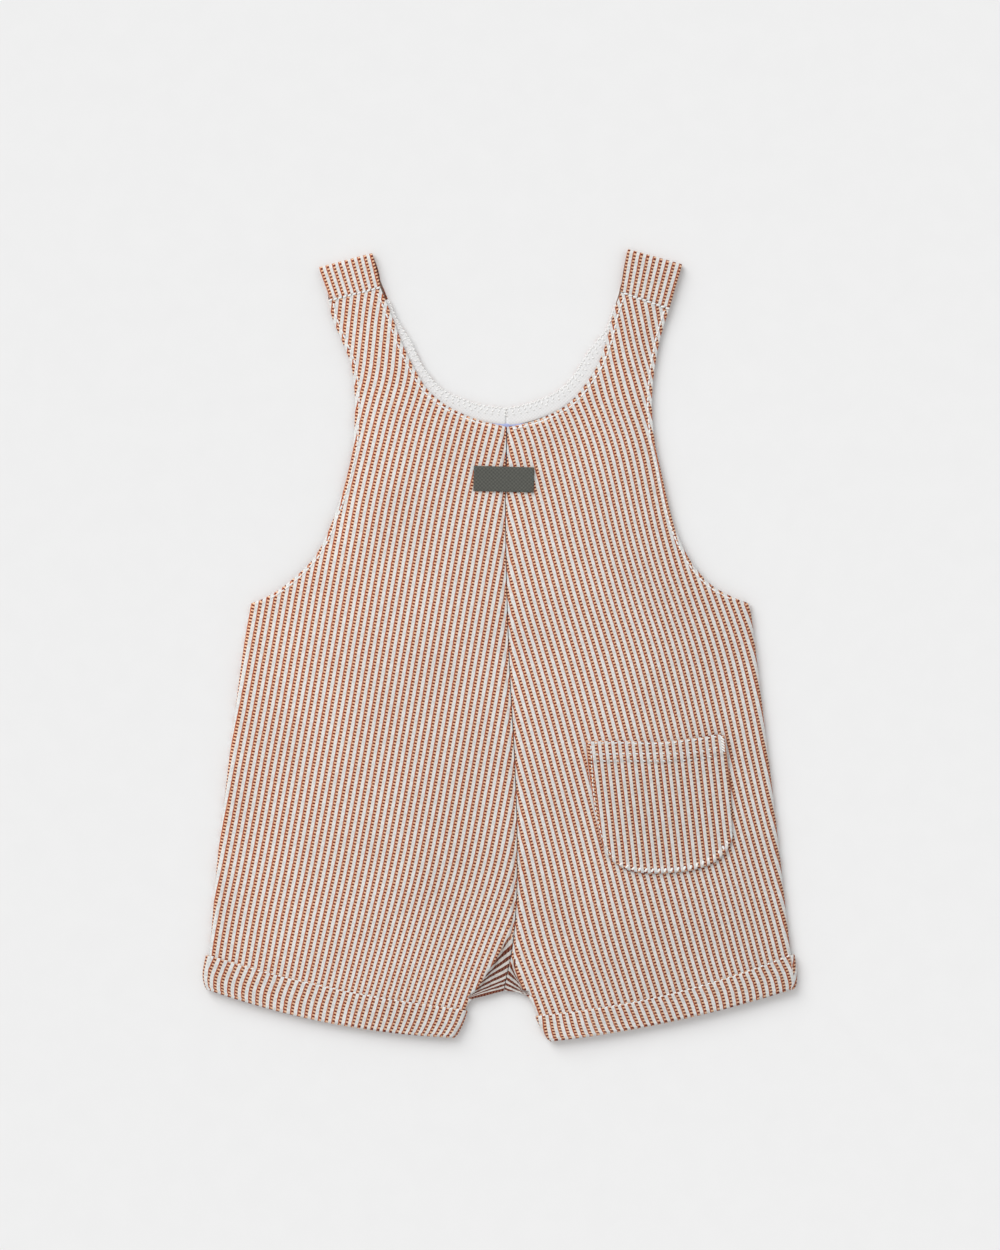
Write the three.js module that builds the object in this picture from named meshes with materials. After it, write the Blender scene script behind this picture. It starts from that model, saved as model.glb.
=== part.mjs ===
// Striped baby dungarees laid flat, in millimetres: +X right, +Y toward the straps, +Z up from the floor.
import * as THREE from 'three';

// Driving sizes
const clothWall = 1.2;
const tapeWall = 1.0;
const seamGap = 0.3;
const backHeight = clothWall / 2;
const frontHeight = 4.2;
const strapEndHeight = 3.6;
const tapeHeight = clothWall + seamGap + tapeWall / 2;
const foldRadius = (strapEndHeight - backHeight) / 2;
const cuffAxisHeight = 3.0;
const cuffHalfHeight = cuffAxisHeight - clothWall / 2;
const hemTurn = 0.75;
const hemInside = 5.0;
const hiddenInset = 1.0;
const edgeFall = 14;
const minColumn = 0.2;

// Armhole down to the underarm, then the side seam down into the cuff
const armhole = {
  left: [
    { y: 200.3, x: -95.9 }, { y: 182.4, x: -90.9 }, { y: 174.6, x: -89.3 }, { y: 159.8, x: -83.3 },
    { y: 146.0, x: -78.4 }, { y: 127.5, x: -76.9 }, { y: 108.9, x: -77.6 }, { y: 87.7, x: -81.6 },
    { y: 63.9, x: -89.6 }, { y: 48.0, x: -97.5 }, { y: 32.1, x: -113.4 }, { y: 24.1, x: -126.1 },
    { y: 21.8, x: -132.5 },
  ],
  right: [
    { y: 201.9, x: 96.5 }, { y: 178.0, x: 89.8 }, { y: 169.9, x: 87.1 }, { y: 159.3, x: 84.3 },
    { y: 138.1, x: 81.1 }, { y: 127.5, x: 80.6 }, { y: 111.6, x: 81.6 }, { y: 87.7, x: 86.4 },
    { y: 63.9, x: 92.2 }, { y: 48.0, x: 99.1 }, { y: 32.1, x: 111.8 }, { y: 24.1, x: 126.1 },
    { y: 21.8, x: 132.5 },
  ],
};
const sideSeam = {
  left: [
    { y: 21.8, x: -132.5 }, { y: 0.3, x: -135.7 }, { y: -39.5, x: -141.0 }, { y: -79.2, x: -145.8 },
    { y: -119.0, x: -150.3 }, { y: -158.7, x: -153.6 }, { y: -170.0, x: -154.9 }, { y: -177.0, x: -154.7 },
  ],
  right: [
    { y: 21.8, x: 132.5 }, { y: 0.3, x: 135.2 }, { y: -39.5, x: 139.9 }, { y: -79.2, x: 144.7 },
    { y: -119.0, x: 149.2 }, { y: -158.7, x: 153.6 }, { y: -170.0, x: 155.0 }, { y: -177.0, x: 155.0 },
  ],
};

// Necklines, the centre seams, and the inseam from the crotch point into the cuff
const frontNeck = {
  left: [
    { y: 189.5, x: -63.1 }, { y: 173.6, x: -56.7 }, { y: 159.4, x: -51.4 }, { y: 146.7, x: -45.2 },
    { y: 136.6, x: -39.1 }, { y: 128.9, x: -30.8 }, { y: 123.2, x: -20.9 }, { y: 118.5, x: -8.2 },
    { y: 115.8, x: 3.6 },
  ],
  right: [
    { y: 187.0, x: 63.9 }, { y: 177.8, x: 60.4 }, { y: 161.6, x: 56.4 }, { y: 147.6, x: 51.1 },
    { y: 138.8, x: 45.4 }, { y: 128.4, x: 36.4 }, { y: 121.5, x: 24.5 }, { y: 116.6, x: 9.4 },
    { y: 115.8, x: 3.6 },
  ],
};
const backNeck = {
  left: [
    { y: 207.0, x: -67.4 }, { y: 190.0, x: -62.0 }, { y: 181.5, x: -58.3 }, { y: 172.0, x: -54.1 },
    { y: 160.3, x: -47.2 }, { y: 149.2, x: -42.4 }, { y: 138.1, x: -35.5 }, { y: 131.7, x: -28.1 },
    { y: 129.1, x: -19.6 }, { y: 126.7, x: -10.6 }, { y: 125.6, x: 3.2 },
  ],
  right: [
    { y: 209.0, x: 67.4 }, { y: 187.0, x: 62.8 }, { y: 177.8, x: 59.9 }, { y: 168.3, x: 56.7 },
    { y: 163.5, x: 53.0 }, { y: 152.9, x: 45.0 }, { y: 141.8, x: 38.2 }, { y: 134.4, x: 30.2 },
    { y: 130.1, x: 21.2 }, { y: 127.3, x: 12.2 }, { y: 125.6, x: 3.2 },
  ],
};
const centreSeam = [
  { y: 125.6, x: 3.2 }, { y: 115.8, x: 3.6 }, { y: 77.0, x: 2.9 }, { y: 24.0, x: 3.8 }, { y: -18.3, x: 5.4 },
  { y: -60.7, x: 7.8 }, { y: -103.0, x: 9.1 }, { y: -124.3, x: 9.1 }, { y: -145.5, x: 8.1 },
  { y: -162.4, x: 6.2 }, { y: -175.0, x: 3.6 }, { y: -182.8, x: 2.1 },
];
const inseam = {
  left: [
    { y: -182.8, x: 2.1 }, { y: -184.8, x: -6.2 }, { y: -187.0, x: -14.4 }, { y: -193.4, x: -18.5 },
    { y: -198.0, x: -20.6 }, { y: -203.0, x: -22.8 },
  ],
  right: [
    { y: -182.8, x: 2.1 }, { y: -183.3, x: 8.0 }, { y: -184.3, x: 11.5 }, { y: -185.8, x: 14.4 },
    { y: -188.0, x: 16.2 }, { y: -196.4, x: 20.1 }, { y: -200.0, x: 22.1 }, { y: -206.0, x: 25.0 },
  ],
};

// Sections of a panel from the shoulder to the hem. outer and inner are the heights in y where each one
// starts and ends, sag is how far its middle hangs down, and ridge is where the leg's fold lies, measured
// from the inner end
const sections = {
  left: [
    { outer: 182.4, inner: 189.5, sag: 0, ridge: 6 },
    { outer: 171.0, inner: 173.6, sag: 0, ridge: 6 },
    { outer: 133.0, inner: 136.6, sag: 0, ridge: 6 },
    { outer: 108.9, inner: 123.2, sag: 0, ridge: 6 },
    { outer: 86.0, inner: 115.8, sag: 0, ridge: 3 },
    { outer: 48.0, inner: 66.0, sag: 0, ridge: 3 },
    { outer: 21.8, inner: 20.0, sag: 0, ridge: 3 },
    { outer: -39.5, inner: -41.0, sag: 0, ridge: 3 },
    { outer: -108.0, inner: -118.0, sag: 0, ridge: 3 },
    { outer: -136.0, inner: -152.0, sag: 1, ridge: 3 },
    { outer: -149.0, inner: -169.0, sag: 2, ridge: 9.3 },
    { outer: -156.5, inner: -182.8, sag: 2.6, ridge: 15 },
    { outer: -160.0, inner: -187.0, sag: 2.9, ridge: 2.4 },
    { outer: -163.6, inner: -193.0, sag: 3.2, ridge: 2.4 },
    { outer: -175.0, inner: -201.0, sag: 4.4, ridge: 2.4 },
  ],
  right: [
    { outer: 178.0, inner: 187.0, sag: 0, ridge: 6 },
    { outer: 168.0, inner: 172.0, sag: 0, ridge: 6 },
    { outer: 133.0, inner: 138.8, sag: 0, ridge: 6 },
    { outer: 108.9, inner: 123.5, sag: 0, ridge: 6 },
    { outer: 86.0, inner: 115.8, sag: 0, ridge: 3 },
    { outer: 48.0, inner: 66.0, sag: 0, ridge: 3 },
    { outer: 21.8, inner: 20.0, sag: 0, ridge: 3 },
    { outer: -39.5, inner: -41.0, sag: 0, ridge: 3 },
    { outer: -108.0, inner: -118.0, sag: 0, ridge: 3 },
    { outer: -140.0, inner: -162.0, sag: 2, ridge: 3 },
    { outer: -147.0, inner: -172.0, sag: 3, ridge: 4.5 },
    { outer: -154.0, inner: -182.8, sag: 4, ridge: 11 },
    { outer: -157.6, inner: -188.0, sag: 4.6, ridge: 2.4 },
    { outer: -163.0, inner: -196.0, sag: 5, ridge: 2.4 },
    { outer: -175.0, inner: -203.4, sag: 3.4, ridge: 2.4 },
  ],
};

// What both sides share at those sections: how far the front is lowered and the back raised, the turn of
// each edge toward the other layer in degrees, the fall to a free armhole, the dip at the inner end and
// the width of its slope, and how many ribs lead to the next section
const shape = [
  { lower: 0.6, rise: 0, outerTurn: 20, innerTurn: 20, fall: 0.3, dip: 0, step: 4, ribs: 1 },
  { lower: 0.5, rise: 0, outerTurn: 20, innerTurn: 20, fall: 0.7, dip: 0, step: 4, ribs: 4 },
  { lower: 0.3, rise: 0, outerTurn: 20, innerTurn: 20, fall: 1.0, dip: 0.2, step: 4, ribs: 2 },
  { lower: 0.2, rise: 0, outerTurn: 20, innerTurn: 20, fall: 1.0, dip: 0.3, step: 4, ribs: 2 },
  { lower: 0.1, rise: 0, outerTurn: 20, innerTurn: 0, fall: 1.0, dip: 0.4, step: 2, ribs: 4 },
  { lower: 0, rise: 0, outerTurn: 20, innerTurn: 0, fall: 0.8, dip: 0.7, step: 2, ribs: 3 },
  { lower: 0, rise: 0, outerTurn: 90, innerTurn: 0, fall: 0, dip: 0.7, step: 2, ribs: 3 },
  { lower: 0, rise: 0, outerTurn: 90, innerTurn: 0, fall: 0, dip: 0.8, step: 2, ribs: 4 },
  { lower: 0, rise: 0, outerTurn: 90, innerTurn: 0, fall: 0, dip: 0.8, step: 2, ribs: 2 },
  { lower: 0, rise: 0, outerTurn: 90, innerTurn: 0, fall: 0, dip: 1.2, step: 2, ribs: 2 },
  { lower: 0, rise: 0.2, outerTurn: 90, innerTurn: 0, fall: 0, dip: 1.9, step: 2.5, ribs: 2 },
  { lower: 0, rise: 0.6, outerTurn: 90, innerTurn: 0, fall: 0, dip: 1.5, step: 2.5, ribs: 4 },
  { lower: 0.1, rise: 1.0, outerTurn: 90, innerTurn: 90, fall: 0, dip: 0, step: 0.5, ribs: 1 },
  { lower: 0.3, rise: 1.5, outerTurn: 90, innerTurn: 90, fall: 0, dip: 0, step: 0.5, ribs: 3 },
  { lower: 0.3, rise: 1.5, outerTurn: 90, innerTurn: 90, fall: 0, dip: 0, step: 0.5, ribs: 0 },
];
const neckSection = 4;
const underarmSection = 6;
const crotchSection = 11;

// Soft undulations of the front cloth
const creases = [
  { x: -70, y: 62, angle: 62, length: 120, width: 16, height: 0.5 },
  { x: 78, y: 60, angle: 118, length: 120, width: 16, height: 0.45 },
  { x: -40, y: -120, angle: 35, length: 110, width: 18, height: 0.5 },
  { x: 52, y: -142, angle: 140, length: 90, width: 16, height: 0.45 },
];

// Strap ends sewn to the fronts, and the fold over the shoulder, as the photo's corners
const strap = {
  left: {
    fold: { outerX: -95.9, outerY: 200.3, innerX: -67.6, innerY: 207.8 },
    end: { outerX: -89.9, outerY: 183.0, innerX: -63.2, innerY: 189.8 },
  },
  right: {
    fold: { outerX: 96.5, outerY: 201.9, innerX: 67.8, innerY: 210.0 },
    end: { outerX: 89.6, outerY: 178.4, innerX: 63.8, innerY: 187.4 },
  },
};

// Cuffs as seen from above: the outer and inner corners of the top edge, the bulge and the bottom edge
const cuff = {
  left: [
    { outerX: -155.8, outerY: -163.8, innerX: -16.9, innerY: -193.3, sag: 3.2 },
    { outerX: -157.5, outerY: -174.1, innerX: -19.6, innerY: -200.6, sag: 4.2 },
    { outerX: -155.9, outerY: -182.2, innerX: -23.6, innerY: -208.0, sag: 4.8 },
  ],
  right: [
    { outerX: 155.9, outerY: -163.3, innerX: 18.5, innerY: -196.3, sag: 5.2 },
    { outerX: 157.4, outerY: -173.0, innerX: 21.9, innerY: -203.4, sag: 4.0 },
    { outerX: 156.9, outerY: -181.5, innerX: 26.2, innerY: -209.9, sag: 3.2 },
  ],
};

// The pocket's columns from left to right: its top edge and where it ends at the bottom
const pocket = [
  { topX: 45.0, topY: -50.9, bottomX: 53.5, bottomY: -104.2, lift: 0 },
  { topX: 51.9, topY: -50.6, bottomX: 57.5, bottomY: -112.0, lift: 0 },
  { topX: 62.5, topY: -50.4, bottomX: 66.0, bottomY: -118.2, lift: 0 },
  { topX: 74.2, topY: -50.6, bottomX: 76.9, bottomY: -120.4, lift: 0 },
  { topX: 85.7, topY: -50.9, bottomX: 87.5, bottomY: -120.4, lift: 0.1 },
  { topX: 97.0, topY: -49.6, bottomX: 100.7, bottomY: -119.0, lift: 0.4 },
  { topX: 108.3, topY: -48.2, bottomX: 112.4, bottomY: -115.3, lift: 0.8 },
  { topX: 114.0, topY: -47.0, bottomX: 119.3, bottomY: -109.5, lift: 1.2 },
  { topX: 119.0, topY: -47.6, bottomX: 122.9, bottomY: -102.0, lift: 1.4 },
];
const pocketHem = 10.6;
const pocketHemExtra = 0.8;
const pocketSideBulge = 1.4;

// Labels and tape
const chestLabel = { x: 2.0, y: 88.0, width: 32.0, height: 13.3, turn: -1.5 };
const neckLabel = { x: 4.0, top: 117.6, width: 24.0, height: 22.0 };
const tapeWidth = { left: 7.7, right: 5.8 };

// Colours and surfaces
const stripedCloth = { color: 0xc8afa4, roughness: 0.92, metalness: 0 };
const whiteTape = { color: 0xe6e6e6, roughness: 0.9, metalness: 0 };
const labelWeave = { color: 0x54544f, roughness: 0.8, metalness: 0 };
const satin = { color: 0xb9bfe0, roughness: 0.45, metalness: 0 };

// Smooth value of one column at a place in a table whose rows run down in y
function curve(rows, at, key = 'x', along = 'y') {
  const count = rows.length;
  const low = rows[0][along] > rows[count - 1][along] ? -1 : 1;
  let i = 0;
  while (i < count - 2 && low * at > low * rows[i + 1][along]) i += 1;
  const slope = (k) => (rows[k + 1][key] - rows[k][key]) / (rows[k + 1][along] - rows[k][along]);
  const tangent = (k) => {
    if (k === 0) return slope(0);
    if (k === count - 1) return slope(count - 2);
    const before = slope(k - 1);
    const after = slope(k);
    return before * after <= 0 ? 0 : (2 * before * after) / (before + after);
  };
  const width = rows[i + 1][along] - rows[i][along];
  const t = (at - rows[i][along]) / width;
  const held = Math.min(Math.max(t, 0), 1);
  const a = rows[i][key];
  const b = rows[i + 1][key];
  const h = held * held * (3 - 2 * held);
  return a + (b - a) * h
    + width * tangent(i) * held * (1 - held) * (1 - held)
    - width * tangent(i + 1) * held * held * (1 - held);
}

function mix(a, b, t) {
  return a + (b - a) * t;
}

function smooth(t) {
  const held = Math.min(Math.max(t, 0), 1);
  return held * held * (3 - 2 * held);
}

// Height that the soft undulations add at a place on the front
function creaseHeight(x, y) {
  let sum = 0;
  for (const fold of creases) {
    const turn = THREE.MathUtils.degToRad(fold.angle);
    const along = (x - fold.x) * Math.cos(turn) + (y - fold.y) * Math.sin(turn);
    const across = -(x - fold.x) * Math.sin(turn) + (y - fold.y) * Math.cos(turn);
    const a = along / (fold.length / 2);
    const b = across / fold.width;
    if (Math.abs(a) < 1 && Math.abs(b) < 1) {
      sum += fold.height * (1 - a * a) ** 2 * Math.cos((Math.PI / 2) * b) ** 2;
    }
  }
  return sum;
}

// The row of a panel's tables at a place between two sections, with its two end points
function sectionAt(side, place, back) {
  const first = Math.min(Math.floor(place), shape.length - 2);
  const t = place - first;
  const row = {};
  for (const key of ['outer', 'inner', 'sag', 'ridge']) {
    row[key] = mix(sections[side][first][key], sections[side][first + 1][key], t);
  }
  for (const key of ['lower', 'rise', 'outerTurn', 'innerTurn', 'fall', 'dip', 'step']) {
    row[key] = mix(shape[first][key], shape[first + 1][key], t);
  }
  const neck = back ? backNeck : frontNeck;
  if (back && place <= neckSection) {
    const top = sections[side][0].inner;
    const centre = sections[side][neckSection].inner;
    row.inner = mix(backNeck[side][10].y, top, (row.inner - centre) / (top - centre));
  }
  const outerRows = place < underarmSection ? armhole : sideSeam;
  let innerX = curve(inseam[side], row.inner);
  if (place <= crotchSection) innerX = curve(centreSeam, row.inner);
  if (place < neckSection) innerX = curve(neck[side], row.inner);
  row.outerPoint = new THREE.Vector2(curve(outerRows[side], row.outer), row.outer);
  row.innerPoint = new THREE.Vector2(innerX, row.inner);
  return row;
}

// Distances along a rib and the fall of the cloth there, from the outer edge to the inner
function ribColumns(row, length, radius, counts, back) {
  const outerTurn = THREE.MathUtils.degToRad(row.outerTurn);
  const innerTurn = THREE.MathUtils.degToRad(row.innerTurn);
  const turned = (turn, k, steps) => {
    const left = turn * (1 - k / steps);
    return {
      run: radius * (Math.sin(turn) - Math.sin(left)) + k * minColumn,
      fall: radius * (1 - Math.cos(left)),
    };
  };
  const columns = [];
  for (let k = 0; k <= counts.turn; k += 1) {
    const edge = turned(outerTurn, k, counts.turn);
    columns.push({ at: edge.run, turnFall: edge.fall });
  }
  const outerRun = columns[counts.turn].at;
  const innerRun = turned(innerTurn, counts.turn, counts.turn).run;
  const ridge = Math.max(row.ridge, innerRun + 0.6);
  const step = Math.min(row.step, ridge - innerRun - 0.3);
  for (let k = 1; k <= counts.flat; k += 1) {
    columns.push({ at: mix(outerRun, length - ridge, k / counts.flat), turnFall: 0 });
  }
  for (let k = 1; k <= counts.slope; k += 1) {
    columns.push({ at: length - ridge + (step * k) / counts.slope, turnFall: 0 });
  }
  for (let k = 1; k <= counts.dip; k += 1) {
    columns.push({ at: mix(length - ridge + step, length - innerRun, k / counts.dip), turnFall: 0 });
  }
  for (let k = counts.turn - 1; k >= 0; k -= 1) {
    const edge = turned(innerTurn, k, counts.turn);
    columns.push({ at: length - edge.run, turnFall: edge.fall });
  }
  for (const column of columns) {
    const dip = back ? 0 : row.dip * smooth((column.at - (length - ridge)) / step);
    const fall = back ? 0 : row.fall * (1 - smooth(column.at / edgeFall));
    column.fall = column.turnFall + dip + fall;
  }
  return columns;
}

// One rib of a panel: points of the middle of the cloth from its outer edge to its inner edge
function panelRib(side, place, back, counts) {
  const row = sectionAt(side, place, back);
  const toward = row.innerPoint.clone().sub(row.outerPoint).normalize();
  const outerInset = (clothWall / 2) * Math.sin(THREE.MathUtils.degToRad(row.outerTurn))
    + (back && place < underarmSection && place > 0.5 ? hiddenInset : 0);
  const seam = place >= neckSection && place <= crotchSection ? seamGap / 2 : 0;
  const innerInset = (clothWall / 2) * Math.sin(THREE.MathUtils.degToRad(row.innerTurn)) + seam;
  const start = row.outerPoint.clone().addScaledVector(toward, outerInset);
  const end = row.innerPoint.clone().addScaledVector(toward, -innerInset);
  const length = start.distanceTo(end);
  const frontMiddle = frontHeight - row.lower;
  const backMiddle = backHeight + row.rise;
  const radius = (frontMiddle - backMiddle - seamGap) / 2;
  const rib = ribColumns(row, length, radius, counts, back).map((column) => {
    const u = column.at / length;
    const x = mix(start.x, end.x, u);
    const y = mix(start.y, end.y, u) - row.sag * 4 * u * (1 - u);
    const z = back ? backMiddle + column.fall : frontMiddle - column.fall + creaseHeight(x, y);
    return new THREE.Vector3(x, y, z);
  });
  const edgeTangent = (degrees, down) => {
    const turn = THREE.MathUtils.degToRad(degrees);
    return new THREE.Vector3(toward.x * Math.cos(turn), toward.y * Math.cos(turn), down * Math.sin(turn));
  };
  rib.startTangent = edgeTangent(row.outerTurn, back ? -1 : 1);
  rib.endTangent = edgeTangent(row.innerTurn, back ? 1 : -1);
  return rib;
}

// All ribs of a panel from the shoulder to the hem
function panelRibs(side, back, counts) {
  const ribs = [];
  shape.forEach((row, i) => {
    const steps = Math.max(Math.round(row.ribs), i === shape.length - 1 ? 1 : 0);
    if (i === shape.length - 1) {
      ribs.push(panelRib(side, i, back, counts));
      return;
    }
    for (let k = 0; k < steps; k += 1) ribs.push(panelRib(side, i + k / steps, back, counts));
  });
  return ribs;
}

// The strap's ribs: from its sewn end on the front, over the fold and down to the back's first rib
function strapRibs(side, firstRib) {
  const { fold, end } = strap[side];
  const shares = firstRib.map((point) => point.distanceTo(firstRib[0]));
  const total = shares[shares.length - 1];
  const chord = (a, z) => shares.map((share) => new THREE.Vector3(
    mix(a.outerX, a.innerX, share / total),
    mix(a.outerY, a.innerY, share / total),
    z,
  ));
  const across = new THREE.Vector2(fold.innerX - fold.outerX, fold.innerY - fold.outerY).normalize();
  const up = new THREE.Vector2(-across.y, across.x);
  if (up.y < 0) up.negate();
  const reach = foldRadius + clothWall / 2;
  const base = {
    outerX: fold.outerX - up.x * reach,
    outerY: fold.outerY - up.y * reach,
    innerX: fold.innerX - up.x * reach,
    innerY: fold.innerY - up.y * reach,
  };
  const ribs = [chord(end, strapEndHeight)];
  const middle = {};
  for (const key of Object.keys(base)) middle[key] = mix(end[key], base[key], 0.5);
  ribs.push(chord(middle, strapEndHeight));
  const steps = 6;
  for (let k = 0; k <= steps; k += 1) {
    const turn = (Math.PI * k) / steps;
    const out = foldRadius * Math.sin(turn);
    const height = backHeight + foldRadius * (1 + Math.cos(turn));
    ribs.push(chord(base, height).map((p) => p.add(new THREE.Vector3(up.x * out, up.y * out, 0))));
  }
  return ribs;
}

// A closed wall round a grid of middle points, half its thickness to each side
function clothGeometry(ribs, wall, loop = false) {
  const rows = ribs.length;
  const columns = ribs[0].length;
  const wallAt = typeof wall === 'function' ? wall : () => [wall / 2, wall / 2];
  const positions = [];
  for (const sign of [1, -1]) {
    for (let i = 0; i < rows; i += 1) {
      for (let j = 0; j < columns; j += 1) {
        const before = loop ? ribs[i][(j + columns - 1) % columns] : ribs[i][Math.max(j - 1, 0)];
        const after = loop ? ribs[i][(j + 1) % columns] : ribs[i][Math.min(j + 1, columns - 1)];
        let across = after.clone().sub(before);
        if (j === 0 && ribs[i].startTangent) across = ribs[i].startTangent.clone();
        if (j === columns - 1 && ribs[i].endTangent) across = ribs[i].endTangent.clone();
        const down = ribs[Math.min(i + 1, rows - 1)][j].clone().sub(ribs[Math.max(i - 1, 0)][j]);
        const normal = across.cross(down).normalize();
        const half = wallAt(i, j)[sign > 0 ? 0 : 1];
        const point = ribs[i][j].clone().addScaledVector(normal, sign * half);
        positions.push(point.x, point.y, point.z);
      }
    }
  }
  const index = (layer, i, j) => layer * rows * columns + i * columns + (j % columns);
  const faces = [];
  const quad = (a, b, c, d) => faces.push(a, b, c, a, c, d);
  const last = loop ? columns : columns - 1;
  for (let i = 0; i < rows - 1; i += 1) {
    for (let j = 0; j < last; j += 1) {
      quad(index(0, i, j), index(0, i, j + 1), index(0, i + 1, j + 1), index(0, i + 1, j));
      quad(index(1, i, j), index(1, i + 1, j), index(1, i + 1, j + 1), index(1, i, j + 1));
    }
  }
  for (let j = 0; j < last; j += 1) {
    quad(index(1, 0, j), index(1, 0, j + 1), index(0, 0, j + 1), index(0, 0, j));
    quad(index(0, rows - 1, j), index(0, rows - 1, j + 1), index(1, rows - 1, j + 1), index(1, rows - 1, j));
  }
  if (!loop) {
    for (let i = 0; i < rows - 1; i += 1) {
      quad(index(0, i, 0), index(0, i + 1, 0), index(1, i + 1, 0), index(1, i, 0));
      quad(index(1, i, last), index(1, i + 1, last), index(0, i + 1, last), index(0, i, last));
    }
  }
  const geometry = new THREE.BufferGeometry();
  geometry.setAttribute('position', new THREE.Float32BufferAttribute(positions, 3));
  geometry.setIndex(outwardFaces(positions, faces));
  geometry.computeVertexNormals();
  return geometry;
}

// The same faces, turned over if they enclose a negative volume
function outwardFaces(positions, faces) {
  const corner = (k) => new THREE.Vector3(positions[3 * k], positions[3 * k + 1], positions[3 * k + 2]);
  let volume = 0;
  for (let f = 0; f < faces.length; f += 3) {
    volume += corner(faces[f]).dot(corner(faces[f + 1]).cross(corner(faces[f + 2])));
  }
  if (volume > 0) return faces;
  const turned = [];
  for (let f = 0; f < faces.length; f += 3) turned.push(faces[f], faces[f + 2], faces[f + 1]);
  return turned;
}

// A cuff: a flattened ring round the leg, with its lower edge turned up inside
function cuffRibs(side) {
  const rows = cuff[side].map((row, i) => ({ ...row, at: i }));
  const endInset = cuffHalfHeight + clothWall / 2;
  const bottomInset = hemTurn + clothWall / 2;
  const acrossCount = 9;
  const endCount = 6;
  const ring = (place, inset, upward) => {
    const row = {};
    for (const key of ['outerX', 'outerY', 'innerX', 'innerY', 'sag']) row[key] = curve(rows, place, key, 'at');
    const toward = new THREE.Vector2(row.innerX - row.outerX, row.innerY - row.outerY).normalize();
    const up = new THREE.Vector2(-toward.y, toward.x);
    if (up.y < 0) up.negate();
    const start = new THREE.Vector2(row.outerX, row.outerY).addScaledVector(toward, endInset);
    const end = new THREE.Vector2(row.innerX, row.innerY).addScaledVector(toward, -endInset);
    const plan = (u) => new THREE.Vector2(
      mix(start.x, end.x, u) + up.x * upward,
      mix(start.y, end.y, u) - row.sag * 4 * u * (1 - u) + up.y * upward,
    );
    const half = cuffHalfHeight - inset;
    const points = [];
    for (let k = 0; k <= acrossCount; k += 1) {
      const p = plan(k / acrossCount);
      points.push(new THREE.Vector3(p.x, p.y, cuffAxisHeight + half));
    }
    for (let k = 1; k < endCount; k += 1) {
      const turn = (Math.PI * k) / endCount;
      const p = plan(1).addScaledVector(toward, half * Math.sin(turn));
      points.push(new THREE.Vector3(p.x, p.y, cuffAxisHeight + half * Math.cos(turn)));
    }
    for (let k = acrossCount; k >= 0; k -= 1) {
      const p = plan(k / acrossCount);
      points.push(new THREE.Vector3(p.x, p.y, cuffAxisHeight - half));
    }
    for (let k = 1; k < endCount; k += 1) {
      const turn = (Math.PI * k) / endCount;
      const p = plan(0).addScaledVector(toward, -half * Math.sin(turn));
      points.push(new THREE.Vector3(p.x, p.y, cuffAxisHeight - half * Math.cos(turn)));
    }
    return points;
  };
  const ribs = [ring(0, 0, 0), ring(0.5, 0, 0), ring(1, 0, 0), ring(1.5, 0, 0)];
  const turnSteps = 4;
  for (let k = 0; k <= turnSteps; k += 1) {
    const turn = (Math.PI * k) / turnSteps;
    ribs.push(ring(2, hemTurn * (1 - Math.cos(turn)), bottomInset - hemTurn * Math.sin(turn)));
  }
  ribs.push(ring(2, 2 * hemTurn, bottomInset + hemInside));
  return ribs;
}

// The pocket: laid on the front, doubled at its hem, with one corner standing away
function pocketRibs() {
  const rows = 9;
  const ribs = [];
  for (let i = 0; i <= rows; i += 1) {
    const v = i < 3 ? (i * 0.0755) : mix(0.151, 1, (i - 2) / (rows - 2));
    ribs.push(pocket.map((column, j) => {
      const side = j === 0 ? -1 : j === pocket.length - 1 ? 1 : 0;
      const x = mix(column.topX, column.bottomX, v) + side * pocketSideBulge * 4 * v * (1 - v) * 0.6;
      const y = mix(column.topY, column.bottomY, v);
      const lift = column.lift * (1 - smooth(v / 0.35));
      const z = frontHeight + creaseHeight(x, y) + clothWall / 2 + seamGap + clothWall / 2 + lift;
      return new THREE.Vector3(x, y, z);
    }));
  }
  return ribs;
}

function pocketWall(ribs) {
  return (i) => {
    const depth = ribs[0][4].y - ribs[i][4].y;
    const extra = pocketHemExtra * (1 - smooth((depth - pocketHem + 0.8) / 1.6));
    return [clothWall / 2, clothWall / 2 + extra];
  };
}

// A woven label laid over the front's centre seam
function chestLabelRibs() {
  const columns = 6;
  const rows = 2;
  const turn = THREE.MathUtils.degToRad(chestLabel.turn);
  const ribs = [];
  for (let i = 0; i <= rows; i += 1) {
    const rib = [];
    for (let j = 0; j <= columns; j += 1) {
      const across = chestLabel.width * (j / columns - 0.5);
      const down = chestLabel.height * (0.5 - i / rows);
      const x = chestLabel.x + across * Math.cos(turn) - down * Math.sin(turn);
      const y = chestLabel.y + across * Math.sin(turn) + down * Math.cos(turn);
      rib.push(new THREE.Vector3(x, y, frontHeight + clothWall / 2 + seamGap + tapeWall / 2));
    }
    ribs.push(rib);
  }
  return ribs;
}

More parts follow.
